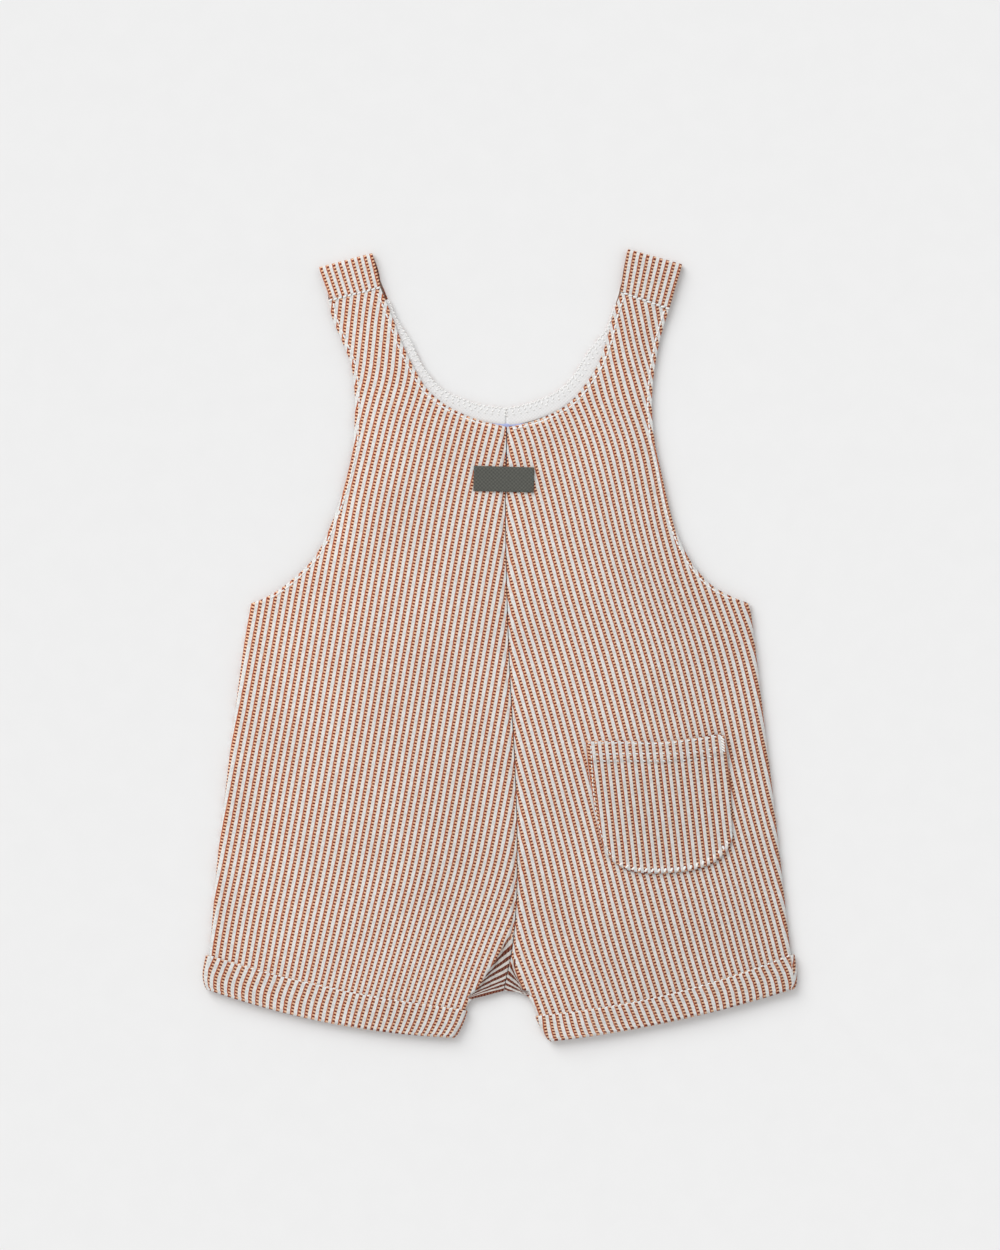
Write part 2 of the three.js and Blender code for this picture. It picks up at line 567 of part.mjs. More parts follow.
// Tape along the back neck, from the strap to the centre-back seam
function neckTapeRibs(side) {
  const rows = backNeck[side];
  const steps = 18;
  const top = sections[side][0].inner - 6;
  const centre = rows[rows.length - 1];
  const width = tapeWidth[side];
  const edge = [];
  for (let k = 0; k <= steps; k += 1) {
    const y = mix(centre.y, top, (k / steps) ** 2);
    edge.push(new THREE.Vector2(curve(rows, y), y));
  }
  return edge.map((point, k) => {
    const before = edge[Math.max(k - 1, 0)];
    const after = edge[Math.min(k + 1, steps)];
    const inward = new THREE.Vector2(after.y - before.y, before.x - after.x).normalize();
    if (inward.y > 0) inward.negate();
    if (k === 0) inward.set(0, -1);
    const shift = k === 0 ? (Math.sign(after.x - point.x) * seamGap) / 2 : 0;
    return [0, 1, 2].map((j) => new THREE.Vector3(
      point.x + shift + (inward.x * width * j) / 2,
      point.y + (inward.y * width * j) / 2,
      tapeHeight,
    ));
  });
}

// Satin label below the tape
function neckLabelRibs() {
  return [0, 1, 2].map((i) => [0, 1, 2, 3].map((j) => new THREE.Vector3(
    neckLabel.x + neckLabel.width * (j / 3 - 0.5),
    neckLabel.top - (neckLabel.height * i) / 2,
    tapeHeight,
  )));
}

function addPiece(group, name, geometry, surface) {
  const mesh = new THREE.Mesh(geometry, new THREE.MeshStandardMaterial(surface));
  mesh.name = name;
  group.add(mesh);
}

// The garment
const garment = new THREE.Group();
const frontCounts = { turn: 2, flat: 7, slope: 2, dip: 1 };
const backCounts = { turn: 2, flat: 5, slope: 1, dip: 1 };
for (const side of ['left', 'right']) {
  const front = panelRibs(side, false, frontCounts);
  addPiece(garment, `front_${side}`, clothGeometry(front, clothWall), stripedCloth);
  const back = panelRibs(side, true, backCounts);
  const wholeBack = [...strapRibs(side, back[0]), ...back];
  addPiece(garment, `back_${side}`, clothGeometry(wholeBack, clothWall), stripedCloth);
  addPiece(garment, `cuff_${side}`, clothGeometry(cuffRibs(side), clothWall, true), stripedCloth);
  addPiece(garment, `neck_tape_${side}`, clothGeometry(neckTapeRibs(side), tapeWall), whiteTape);
}
const pocketMiddle = pocketRibs();
addPiece(garment, 'pocket', clothGeometry(pocketMiddle, pocketWall(pocketMiddle)), stripedCloth);
addPiece(garment, 'chest_label', clothGeometry(chestLabelRibs(), tapeWall), labelWeave);
addPiece(garment, 'neck_label', clothGeometry(neckLabelRibs(), tapeWall), satin);

export default garment;
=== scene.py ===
# Striped baby dungarees laid flat on a pale surface.
# Lengths in the tables are millimetres, as a maker would measure the garment; mm turns them to metres.
import math
import bpy
import numpy as np
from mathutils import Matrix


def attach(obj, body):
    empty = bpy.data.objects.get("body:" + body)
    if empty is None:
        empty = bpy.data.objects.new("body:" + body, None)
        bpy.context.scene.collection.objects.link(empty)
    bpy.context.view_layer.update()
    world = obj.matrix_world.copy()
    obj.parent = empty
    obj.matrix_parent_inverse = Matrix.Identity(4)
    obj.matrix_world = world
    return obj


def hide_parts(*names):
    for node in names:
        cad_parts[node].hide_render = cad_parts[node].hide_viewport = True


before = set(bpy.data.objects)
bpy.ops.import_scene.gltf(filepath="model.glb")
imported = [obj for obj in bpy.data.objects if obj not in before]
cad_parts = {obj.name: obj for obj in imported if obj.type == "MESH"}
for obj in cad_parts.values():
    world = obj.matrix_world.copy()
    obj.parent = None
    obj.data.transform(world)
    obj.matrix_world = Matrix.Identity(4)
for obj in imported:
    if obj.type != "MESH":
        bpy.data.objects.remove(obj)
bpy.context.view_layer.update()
mm = 0.001
print("frame loaded")

# Sizes shared by all pieces
cloth = {
    "wall": 1.2,  # thickness of the knit as the solids have it
    "tape": 1.0,
    "seamGap": 0.3,
    "backHeight": 0.6,  # middle of the back layer
    "frontHeight": 4.2,  # middle of the front layer
    "strapEndHeight": 3.6,
    "hiddenInset": 1.0,  # how far a back stays inside the front's armhole
    "edgeFall": 14.0,
    "minColumn": 0.07,
    "foldRoom": 0.6,  # least width of the strip inside a leg's fold
    "foldRest": 0.3,  # part of it that its slope leaves level
    "edgeRound": 0.5,  # how far in from a cut edge the wall is rounded
    "edgeThin": 0.04,  # square of the share of the wall that is left at the very edge
}

# Outlines, each row y then x, from the top down
armhole = {
    "left": [(200.3, -95.9), (182.4, -90.9), (174.6, -89.3), (159.8, -83.3), (146.0, -78.4), (127.5, -76.9),
             (108.9, -77.6), (87.7, -81.6), (63.9, -89.6), (48.0, -97.5), (32.1, -113.4), (24.1, -126.1),
             (21.8, -132.5)],
    "right": [(201.9, 96.5), (178.0, 89.8), (169.9, 87.1), (159.3, 84.3), (138.1, 81.1), (127.5, 80.6),
              (111.6, 81.6), (87.7, 86.4), (63.9, 92.2), (48.0, 99.1), (32.1, 111.8), (24.1, 126.1),
              (21.8, 132.5)],
}
sideSeam = {
    "left": [(21.8, -132.5), (0.3, -135.7), (-39.5, -141.0), (-79.2, -145.8), (-119.0, -150.3),
             (-158.7, -153.6), (-170.0, -154.9), (-177.0, -154.7)],
    "right": [(21.8, 132.5), (0.3, 135.2), (-39.5, 139.9), (-79.2, 144.7), (-119.0, 149.2),
              (-158.7, 153.6), (-170.0, 155.0), (-177.0, 155.0)],
}
frontNeck = {
    "left": [(189.5, -63.1), (173.6, -56.7), (159.4, -51.4), (146.7, -45.2), (136.6, -39.1), (128.9, -30.8),
             (123.2, -20.9), (118.5, -8.2), (115.8, 3.6)],
    "right": [(187.0, 63.9), (177.8, 60.4), (161.6, 56.4), (147.6, 51.1), (138.8, 45.4), (128.4, 36.4),
              (121.5, 24.5), (116.6, 9.4), (115.8, 3.6)],
}
backNeck = {
    "left": [(207.0, -67.4), (190.5, -62.0), (181.5, -58.3), (172.0, -54.1), (161.0, -47.2), (150.5, -42.4),
             (140.5, -35.5), (134.0, -28.1), (130.5, -19.6), (127.4, -10.6), (125.6, 3.2)],
    "right": [(209.0, 67.4), (187.0, 62.8), (177.8, 59.9), (168.3, 56.7), (163.5, 53.0), (152.9, 45.0),
              (141.8, 38.2), (134.4, 30.2), (130.1, 21.2), (127.3, 12.2), (125.6, 3.2)],
}
centreSeam = [(125.6, 3.2), (115.8, 3.6), (77.0, 2.9), (24.0, 3.8), (-18.3, 5.4), (-60.7, 7.8),
              (-103.0, 9.1), (-124.3, 9.1), (-145.5, 8.1), (-162.4, 6.2), (-175.0, 3.6), (-182.8, 2.1)]
inseam = {
    "left": [(-182.8, 2.1), (-184.8, -6.2), (-187.0, -14.4), (-193.4, -18.5), (-198.0, -20.6),
             (-203.0, -22.8)],
    "right": [(-182.8, 2.1), (-183.3, 8.0), (-184.3, 11.5), (-185.8, 14.4), (-188.0, 16.2), (-196.4, 20.1),
              (-200.0, 22.1), (-206.0, 25.0)],
}

# Sections of a panel, shoulder to hem: heights of the outer and inner ends, the sag of the middle and
# how far the leg's fold lies from the inner end
sectionKeys = ("outer", "inner", "sag", "ridge")
sections = {
    "left": [(182.4, 189.5, 0, 6), (171.0, 173.6, 0, 6), (133.0, 136.6, 0, 6), (108.9, 123.2, 0, 6),
             (86.0, 115.8, 0, 3), (48.0, 66.0, 0, 3), (21.8, 20.0, 0, 3), (-39.5, -41.0, 0, 3),
             (-108.0, -118.0, 0, 3), (-136.0, -152.0, 1, 3), (-149.0, -169.0, 2, 9.3),
             (-156.5, -182.8, 2.6, 15), (-160.0, -187.0, 2.9, 2.4), (-163.6, -193.0, 3.2, 2.4),
             (-175.0, -201.0, 4.4, 2.4)],
    "right": [(178.0, 187.0, 0, 6), (168.0, 172.0, 0, 6), (133.0, 138.8, 0, 6), (108.9, 123.5, 0, 6),
              (86.0, 115.8, 0, 3), (48.0, 66.0, 0, 3), (21.8, 20.0, 0, 3), (-39.5, -41.0, 0, 3),
              (-108.0, -118.0, 0, 3), (-140.0, -162.0, 2, 3), (-147.0, -172.0, 3, 4.5),
              (-154.0, -182.8, 4, 11), (-157.6, -188.0, 4.6, 2.4), (-163.0, -196.0, 5, 2.4),
              (-175.0, -203.4, 3.4, 2.4)],
}
# What both sides share there: front lowered, back raised, turn of each edge in degrees, fall to a free
# armhole, dip at the inner end and the width of its slope, and ribs to the next section
shapeKeys = ("lower", "rise", "outerTurn", "innerTurn", "fall", "dip", "step", "ribs")
shape = [
    (0.6, 0, 20, 20, 0.3, 0, 4, 6), (0.5, 0, 20, 20, 0.7, 0, 4, 20), (0.3, 0, 20, 20, 1.0, 0.2, 4, 12),
    (0.2, 0, 20, 20, 1.0, 0.3, 4, 14), (0.1, 0, 20, 0, 1.0, 0.8, 2, 20), (0, 0, 20, 0, 0.8, 0.8, 2, 20),
    (0, 0, 90, 0, 0, 0.7, 2, 20), (0, 0, 90, 0, 0, 0.8, 2, 26), (0, 0, 90, 0, 0, 0.8, 2, 14),
    (0, 0, 90, 0, 0, 1.2, 2, 12), (0, 0.2, 90, 0, 0, 1.9, 2.5, 12), (0, 0.6, 90, 0, 0, 1.5, 2.5, 16),
    (0.1, 1.0, 90, 90, 0, 0, 0.5, 6), (0.3, 1.5, 90, 90, 0, 0, 0.5, 8), (0.3, 1.5, 90, 90, 0, 0, 0.5, 0),
]
# Sections where the neckline meets the centre seam, where the armhole ends and where the legs part
neckSection = 4
underarmSection = 6
crotchSection = 11

# Soft undulations of the front: centre, direction, length, half width and height
creaseKeys = ("x", "y", "angle", "length", "width", "height")
creases = [(-70, 62, 62, 120, 16, 0.5), (78, 60, 118, 120, 16, 0.45), (-40, -120, 35, 110, 18, 0.5),
           (52, -142, 140, 90, 16, 0.45)]

# Stripes of the fronts: at each height, how far they lean in x for a rise of 1 in y, beside the centre
# seam, half way across and at the side
stripeLean = {
    "left": [(205, 0.20, 0.14, 0.10), (183, 0.20, 0.135, 0.10), (165, 0.09, 0.10, 0.12),
             (150, 0.08, 0.12, 0.155), (137, 0.26, 0.28, 0.26), (126, 0.38, 0.31, 0.23),
             (114, 0.27, 0.265, 0.24), (90, 0.24, 0.235, 0.24), (66, 0.20, 0.20, 0.18),
             (45, 0.195, 0.185, 0.205), (20, 0.185, 0.185, 0.185), (-29, 0.185, 0.18, 0.19),
             (-45, 0.19, 0.185, 0.21), (-76, 0.19, 0.19, 0.185), (-108, 0.22, 0.20, 0.20),
             (-135, 0.36, 0.245, 0.22), (-151, 0.40, 0.255, 0.17), (-161, 0.42, 0.265, 0.15),
             (-205, 0.38, 0.31, 0.16)],
    "right": [(205, -0.25, -0.20, -0.12), (183, -0.25, -0.20, -0.13), (170, -0.22, -0.22, -0.18),
              (156, -0.18, -0.26, -0.31), (146, -0.21, -0.285, -0.325), (136, -0.27, -0.27, -0.305),
              (125, -0.51, -0.36, -0.34), (114, -0.35, -0.37, -0.32), (103, -0.25, -0.30, -0.24),
              (93, -0.25, -0.29, -0.19), (82, -0.28, -0.265, -0.20), (66, -0.265, -0.255, -0.24),
              (45, -0.27, -0.295, -0.31), (29, -0.28, -0.30, -0.385), (13, -0.30, -0.34, -0.36),
              (-13, -0.315, -0.285, -0.25), (-45, -0.29, -0.265, -0.21), (-76, -0.28, -0.27, -0.235),
              (-108, -0.26, -0.27, -0.30), (-130, -0.22, -0.27, -0.31), (-151, -0.275, -0.29, -0.28),
              (-161, -0.32, -0.30, -0.25), (-172, -0.40, -0.32, -0.30), (-205, -0.38, -0.32, -0.30)],
}
# Stripes of the crotch hollow: height where one meets the centre seam, its number and its slope
hollowStripes = {
    "left": [(-189.0, 9.0, 0.2), (-182.1, 7.0, 0.23), (-179.4, 6.0, 0.36), (-176.8, 5.0, 0.47),
             (-173.6, 4.0, 0.52), (-169.3, 3.0, 0.63), (-164.6, 2.0, 0.85), (-159.3, 1.0, 0.96),
             (-151.8, 0.0, 1.32), (-144.0, -1.0, 2.0)],
    "right": [(-187.5, 7.0, 0.3), (-181.5, 4.0, 0.37), (-179.1, 3.0, 0.42), (-176.2, 2.0, 0.62),
              (-173.0, 1.0, 0.7), (-168.3, 0.0, 1.3), (-162.0, -1.0, 2.2)],
}
stripes = {
    "pitch": {"left": 3.679, "right": 3.697},  # across, at the reference height
    "reference": 2.9,
    "along": {"left": 1.02, "right": 1.045},  # run along a stripe for a rise of 1
    "start": {"left": -126.8, "right": 11.5},  # middle of one brown stripe at the reference height
    # how far the stripes there stand to the left of an even spacing: x then distance
    "ease": {"left": [(-140, -0.1), (5, 0.0)],
             "right": [(10, 0.2), (32, -0.1), (58, -0.55), (74, -0.35), (85, 0.0), (101, 0.7),
                       (138, 0.55)]},
    "steps": 60,  # of the way from a point to the reference height
}
stripeSign = {"left": 1, "right": -1}  # stripes are counted from left to right on both sides

# Painted shade over the garment, darker toward the lower right, added for x and for y
paintedShadeByX = [(-150, 0.04), (-80, 0.035), (-40, 0.0), (45, -0.02), (80, -0.06), (150, -0.085)]
paintedShadeByY = [(-200, -0.06), (-130, -0.05), (-29, -0.02), (80, 0.0), (120, 0.0), (180, -0.02)]


def curve(rows, at):
    # smooth x at a height y, monotone between the rows of an outline
    count = len(rows)
    i = 0
    while i < count - 2 and at < rows[i + 1][0]:
        i += 1
    slope = [(rows[k + 1][1] - rows[k][1]) / (rows[k + 1][0] - rows[k][0]) for k in range(count - 1)]

    def tangent(k):
        if k == 0:
            return slope[0]
        if k == count - 1:
            return slope[-1]
        before, after = slope[k - 1], slope[k]
        return 0.0 if before * after <= 0 else 2 * before * after / (before + after)

    width = rows[i + 1][0] - rows[i][0]
    t = min(max((at - rows[i][0]) / width, 0.0), 1.0)
    a, b = rows[i][1], rows[i + 1][1]
    return (a + (b - a) * t * t * (3 - 2 * t) + width * tangent(i) * t * (1 - t) ** 2
            - width * tangent(i + 1) * t * t * (1 - t))


def mix(a, b, t):
    return a + (b - a) * t


def smooth(t):
    t = np.clip(t, 0.0, 1.0)
    return t * t * (3 - 2 * t)


def creaseHeight(x, y):
    total = 0.0
    for row in creases:
        fold = dict(zip(creaseKeys, row))
        turn = math.radians(fold["angle"])
        along = (x - fold["x"]) * math.cos(turn) + (y - fold["y"]) * math.sin(turn)
        across = -(x - fold["x"]) * math.sin(turn) + (y - fold["y"]) * math.cos(turn)
        a = np.clip(along / (fold["length"] / 2), -1, 1)
        b = np.clip(across / fold["width"], -1, 1)
        total = total + fold["height"] * (1 - a * a) ** 2 * np.cos(math.pi / 2 * b) ** 2
    return total


def sectionAt(side, place, back):
    # a panel's row at a place between two sections, with its two end points
    first = min(int(place), len(shape) - 2)
    t = place - first
    row = {}
    for keys, table in ((sectionKeys, sections[side]), (shapeKeys, shape)):
        for k, key in enumerate(keys):
            row[key] = mix(table[first][k], table[first + 1][k], t)
    if first == crotchSection and side == "right":
        # the leg's fold runs quickly to its edge there
        row["ridge"] = mix(sections[side][first][-1], sections[side][first + 1][-1], 1 - (1 - t) ** 4)
    neck = backNeck if back else frontNeck
    if back and place <= neckSection:
        top = sections[side][0][1]
        centre = sections[side][neckSection][1]
        row["inner"] = mix(backNeck[side][-1][0], top, (row["inner"] - centre) / (top - centre))
    outline = armhole if place < underarmSection else sideSeam
    if place < neckSection:
        innerX = curve(neck[side], row["inner"])
    elif place <= crotchSection:
        innerX = curve(centreSeam, row["inner"])
    else:
        innerX = curve(inseam[side], row["inner"])
    row["outerPoint"] = np.array([curve(outline[side], row["outer"]), row["outer"]])
    row["innerPoint"] = np.array([innerX, row["inner"]])
    return row


def ribColumns(row, length, radius, counts, back):
    # distances along a rib and the fall of the cloth there
    outerTurn = math.radians(row["outerTurn"])
    innerTurn = math.radians(row["innerTurn"])

    def turned(turn, k):
        left = turn * (1 - k / counts["turn"])
        run = radius * (math.sin(turn) - math.sin(left)) + k * cloth["minColumn"]
        return run, radius * (1 - math.cos(left))

    columns = [turned(outerTurn, k) for k in range(counts["turn"] + 1)]
    outerRun = columns[-1][0]
    innerRun = turned(innerTurn, counts["turn"])[0]
    ridge = max(row["ridge"], innerRun + cloth["foldRoom"])
    step = min(row["step"], ridge - innerRun - cloth["foldRest"])
    flat, slope, dip = counts["flat"], counts["slope"], counts["dip"]
    columns += [(mix(outerRun, length - ridge, k / flat), 0.0) for k in range(1, flat + 1)]
    columns += [(length - ridge + step * k / slope, 0.0) for k in range(1, slope + 1)]
    columns += [(mix(length - ridge + step, length - innerRun, k / dip), 0.0) for k in range(1, dip + 1)]
    for k in range(counts["turn"] - 1, -1, -1):
        run, fall = turned(innerTurn, k)
        columns.append((length - run, fall))
    at = np.array([c[0] for c in columns])
    fall = np.array([c[1] for c in columns])
    if not back:
        fall = fall + row["dip"] * smooth((at - (length - ridge)) / step)
        fall = fall + row["fall"] * (1 - smooth(at / cloth["edgeFall"]))
    return at, fall


def panelRib(side, place, back, counts):
    row = sectionAt(side, place, back)
    toward = row["innerPoint"] - row["outerPoint"]
    toward = toward / np.linalg.norm(toward)
    hidden = cloth["hiddenInset"] if back and 0.5 < place < underarmSection else 0.0
    seam = cloth["seamGap"] / 2 if neckSection <= place <= crotchSection else 0.0
    outerInset = cloth["wall"] / 2 * math.sin(math.radians(row["outerTurn"])) + hidden
    innerInset = cloth["wall"] / 2 * math.sin(math.radians(row["innerTurn"])) + seam
    start = row["outerPoint"] + toward * outerInset
    end = row["innerPoint"] - toward * innerInset
    length = float(np.linalg.norm(end - start))
    frontMiddle = cloth["frontHeight"] - row["lower"]
    backMiddle = cloth["backHeight"] + row["rise"]
    radius = (frontMiddle - backMiddle - cloth["seamGap"]) / 2
    at, fall = ribColumns(row, length, radius, counts, back)
    u = at / length
    x = mix(start[0], end[0], u)
    y = mix(start[1], end[1], u) - row["sag"] * 4 * u * (1 - u)
    z = backMiddle + fall if back else frontMiddle - fall + creaseHeight(x, y)

    def tangent(degrees, down):
        turn = math.radians(degrees)
        return np.array([toward[0] * math.cos(turn), toward[1] * math.cos(turn), down * math.sin(turn)])

    return {
        "points": np.stack([x, y, z], axis=1),
        "start": tangent(row["outerTurn"], -1 if back else 1),
        "end": tangent(row["innerTurn"], 1 if back else -1),
        "place": place,
    }


def panelRibs(side, back, counts):
    last = len(shape) - 1
    # extra ribs close to both ends, so that the wall's edge can be rounded there
    places = {0.02, 0.05, last - 0.05, last - 0.02, last}
    for i, row in enumerate(shape[:-1]):
        ribs = max(1, round(row[-1] * counts["density"]))
        places.update(i + k / ribs for k in range(ribs))
    return [panelRib(side, place, back, counts) for place in sorted(places)]


def gridOf(ribs):
    grid = {key: np.stack([rib[key] for rib in ribs]) for key in ("points", "start", "end")}
    grid["places"] = [rib["place"] for rib in ribs]
    return grid


def runOf(points, axis=0):
    # distance travelled along a path, or along a grid's rows or columns
    steps = np.linalg.norm(np.diff(points, axis=axis), axis=-1)
    return np.insert(np.cumsum(steps, axis=axis), 0, 0, axis=axis)


def addPiece(name, mesh, material):
    mesh.polygons.foreach_set("use_smooth", [True] * len(mesh.polygons))
    mesh.update()
    mesh.materials.append(material)
    return addObject(name, mesh)


def addObject(name, data):
    thing = bpy.data.objects.new(name, data)
    bpy.context.scene.collection.objects.link(thing)
    return thing


def clothMesh(name, grid, wall, uv, material, loop=False, split=None, extra=0.0, second=None, dyeAndPaintedShade=1.0):
    # a closed wall round a grid of middle points, thinned to a round edge where the cloth is cut;
    # extra thickens it, split gives part of it other threads, second another material from a row on, and
    # the last factor darkens it with painted shade, kept on its points
    points = grid["points"]
    rows, columns = points.shape[:2]
    if loop:
        across = np.roll(points, -1, axis=1) - np.roll(points, 1, axis=1)
    else:
        across = np.gradient(points, axis=1)
        if "start" in grid:
            across[:, 0] = grid["start"]
            across[:, -1] = grid["end"]
    down = np.gradient(points, axis=0)
    normal = np.cross(across, down)
    normal /= np.linalg.norm(normal, axis=2, keepdims=True)
    if normal[..., 2].mean() < 0 and not loop:
        normal = -normal
    run = runOf(points)
    toEdge = np.minimum(run, run[-1] - run)
    if not loop:
        run = runOf(points, 1)
        toEdge = np.minimum(toEdge, np.minimum(run, run[:, -1:] - run))
    near = np.clip(toEdge / cloth["edgeRound"], 0, 1)
    half = wall / 2 * np.sqrt(np.maximum(1 - (1 - near) ** 2, cloth["edgeThin"]))
    top = points + normal * (half + extra)[..., None]
    under = points - normal * half[..., None]
    vertices = np.concatenate([top.reshape(-1, 3), under.reshape(-1, 3)]) * mm
    faces = []
    corners = []
    facing = []
    last = columns if loop else columns - 1

    def vertex(layer, i, j):
        return layer * rows * columns + i * columns + j % columns

    def addFace(*cells):
        faces.append([vertex(*cell) for cell in cells])
        corners.append([(cell[1], cell[2]) for cell in cells])
        facing.append(all(cell[0] == 0 for cell in cells))

    for i in range(rows - 1):
        for j in range(last):
            addFace((0, i, j), (0, i, j + 1), (0, i + 1, j + 1), (0, i + 1, j))
            addFace((1, i, j), (1, i + 1, j), (1, i + 1, j + 1), (1, i, j + 1))
    for j in range(last):
        addFace((1, 0, j), (1, 0, j + 1), (0, 0, j + 1), (0, 0, j))
        addFace((0, rows - 1, j), (0, rows - 1, j + 1), (1, rows - 1, j + 1), (1, rows - 1, j))
    if not loop:
        for i in range(rows - 1):
            addFace((0, i, 0), (0, i + 1, 0), (1, i + 1, 0), (1, i, 0))
            addFace((1, i, last), (1, i + 1, last), (0, i + 1, last), (0, i, last))
    triangles = vertices[np.array([face[:3] for face in faces])]
    volume = np.einsum("ij,ij->i", triangles[:, 0], np.cross(triangles[:, 1], triangles[:, 2])).sum()
    mesh = bpy.data.meshes.new(name)
    if volume < 0:
        faces = [face[::-1] for face in faces]
        corners = [corner[::-1] for corner in corners]
    mesh.from_pydata(vertices.tolist(), [], faces)
    layer = mesh.uv_layers.new(name="threads")
    wrapped = np.concatenate([uv, uv[:, :1] + [[[grid.get("round", 0), 0]]]], axis=1) if loop else uv
    values = []
    for corner in corners:
        middle = min(c[1] for c in corner)
        source = wrapped
        if split is not None and split["from"] <= middle and split["rows"][min(c[0] for c in corner)]:
            source = split["uv"]
        for i, j in corner:
            values += source[i, j].tolist()
    layer.data.foreach_set("uv", values)
    # painted shade on each point: darker toward the lower right, times the piece's own factor
    paintedShadeValues = (paintedShadeOver(points[..., 0], points[..., 1]) * dyeAndPaintedShade).ravel().tolist()
    mesh.attributes.new("dyeAndPaintedShade", "FLOAT", "POINT").data.foreach_set("value", paintedShadeValues * 2)
    piece = addPiece(name, mesh, material)
    if second is not None:
        mesh.materials.append(second[1])
        inner = [int(face and min(cell[0] for cell in corner) >= second[0])
                 for corner, face in zip(corners, facing)]
        mesh.polygons.foreach_set("material_index", inner)
    return piece


def straight(rows, y):
    # x at the heights y, straight between the rows of an outline
    return np.interp(y, *zip(*rows[::-1]))


def stationAcross(side, x, y):
    # 0 beside the centre seam or neckline, 1 at the side seam or armhole
    innerX = straight(frontNeck[side][:-1] + centreSeam[1:], y)
    outerX = straight(armhole[side][:-1] + sideSeam[side], y)
    return np.clip((x - innerX) / (outerX - innerX), 0, 1)


def stripeCount(side, x, y):
    # follows the stripes' lean to the reference height, where they are counted
    table = np.array(stripeLean[side])[::-1]
    rise = (stripes["reference"] - y) / stripes["steps"]
    for _ in range(stripes["steps"]):
        at = stationAcross(side, x, y)
        seam, middle, edge = (np.interp(y, table[:, 0], table[:, k]) for k in (1, 2, 3))
        lean = np.where(at < 0.5, mix(seam, middle, at * 2), mix(middle, edge, at * 2 - 1))
        x = x + lean * rise
        y = y + rise
    ease = np.interp(x, *zip(*stripes["ease"][side]))
    return (x + ease - stripes["start"][side]) / stripes["pitch"][side]


def hollowCount(side, x, y):
    # stripes of the crotch hollow leave the centre seam and grow flatter toward the bottom
    table = np.array(hollowStripes[side])
    starts = np.linspace(table[0, 0], table[-1, 0], 121)  # one every 0.3 mm or so
    slopes = np.interp(starts, table[:, 0], table[:, 2])
    away = np.abs(x - straight(centreSeam, y))
    miss = np.abs(starts - slopes * away[..., None] - y[..., None])
    start = starts[np.argmin(miss, axis=2)]
    return np.interp(start, table[:, 0], table[:, 1])


def paintedShadeOver(x, y):
    # painted shade: the cloth is made a little darker toward the lower right, away from the window light
    return 1 + np.interp(x, *zip(*paintedShadeByX)) + np.interp(y, *zip(*paintedShadeByY))


def rollRun(points):
    # how much longer the cloth is than it looks from above, from the middle of a rib to each rolled edge
    steps = np.diff(points, axis=1)
    extra = np.linalg.norm(steps, axis=2) - np.linalg.norm(steps[..., :2], axis=2)
    half = points.shape[1] // 2
    run = np.zeros(points.shape[:2])
    run[:, :half] = -np.cumsum(extra[:, :half][:, ::-1], axis=1)[:, ::-1]
    run[:, half + 1:] = np.cumsum(extra[:, half:], axis=1)
    return run


def threadsOf(side, points):
    x, y = points[..., 0], points[..., 1]
    rolled = stripeSign[side] * rollRun(points) / stripes["pitch"][side]
    return np.stack([stripeCount(side, x, y) + rolled, y * stripes["along"][side]], axis=2)


def addNode(tree, kind, settings=None, inputs=None):
    node = tree.nodes.new(kind)
    for key, value in (settings or {}).items():
        setattr(node, key, value)
    for key, value in (inputs or {}).items():
        if isinstance(value, bpy.types.NodeSocket):
            tree.links.new(value, node.inputs[key])
        else:
            node.inputs[key].default_value = value
    return node


def calculate(tree, operation, a, b=0.0, clamp=False):
    settings = {"operation": operation, "use_clamp": clamp}
    return addNode(tree, "ShaderNodeMath", settings, {0: a, 1: b}).outputs[0]


def noise(tree, place, scale, detail=2.0):
    # scale is in waves a metre
    inputs = {"Vector": place, "Scale": scale, "Detail": detail}
    return addNode(tree, "ShaderNodeTexNoise", inputs=inputs).outputs[0]


def scaled(tree, vector, factor):
    inputs = {0: vector, "Scale": factor}
    return addNode(tree, "ShaderNodeVectorMath", {"operation": "SCALE"}, inputs).outputs[0]


def blended(tree, factor, a, b):
    return addNode(tree, "ShaderNodeMix", {"data_type": "RGBA"}, {0: factor, 6: a, 7: b}).outputs[2]


def toLinear(hexColour, alpha=1.0):
    parts = [int(hexColour[k:k + 2], 16) / 255 for k in (1, 3, 5)]
    return (*[c / 12.92 if c <= 0.04045 else ((c + 0.055) / 1.055) ** 2.4 for c in parts], alpha)


def startMaterial(name, roughness, sheen=0.0):
    material = bpy.data.materials.new(name)
    material.use_nodes = True
    tree = material.node_tree
    shader = tree.nodes["Principled BSDF"]
    shader.inputs["Roughness"].default_value = roughness
    shader.inputs["IOR"].default_value = 1.5
    shader.inputs["Specular IOR Level"].default_value = 0.25
    shader.inputs["Sheen Weight"].default_value = sheen
    shader.inputs["Sheen Roughness"].default_value = 0.5
    return material, tree, shader


def finishMaterial(parts, colour, strength, relief, height):
    # relief in mm
    material, tree, shader = parts
    tree.links.new(colour, shader.inputs["Base Color"])
    inputs = {"Strength": strength, "Distance": relief * mm, "Height": height}
    bump = addNode(tree, "ShaderNodeBump", inputs=inputs)
    tree.links.new(bump.outputs[0], shader.inputs["Normal"])
    return material
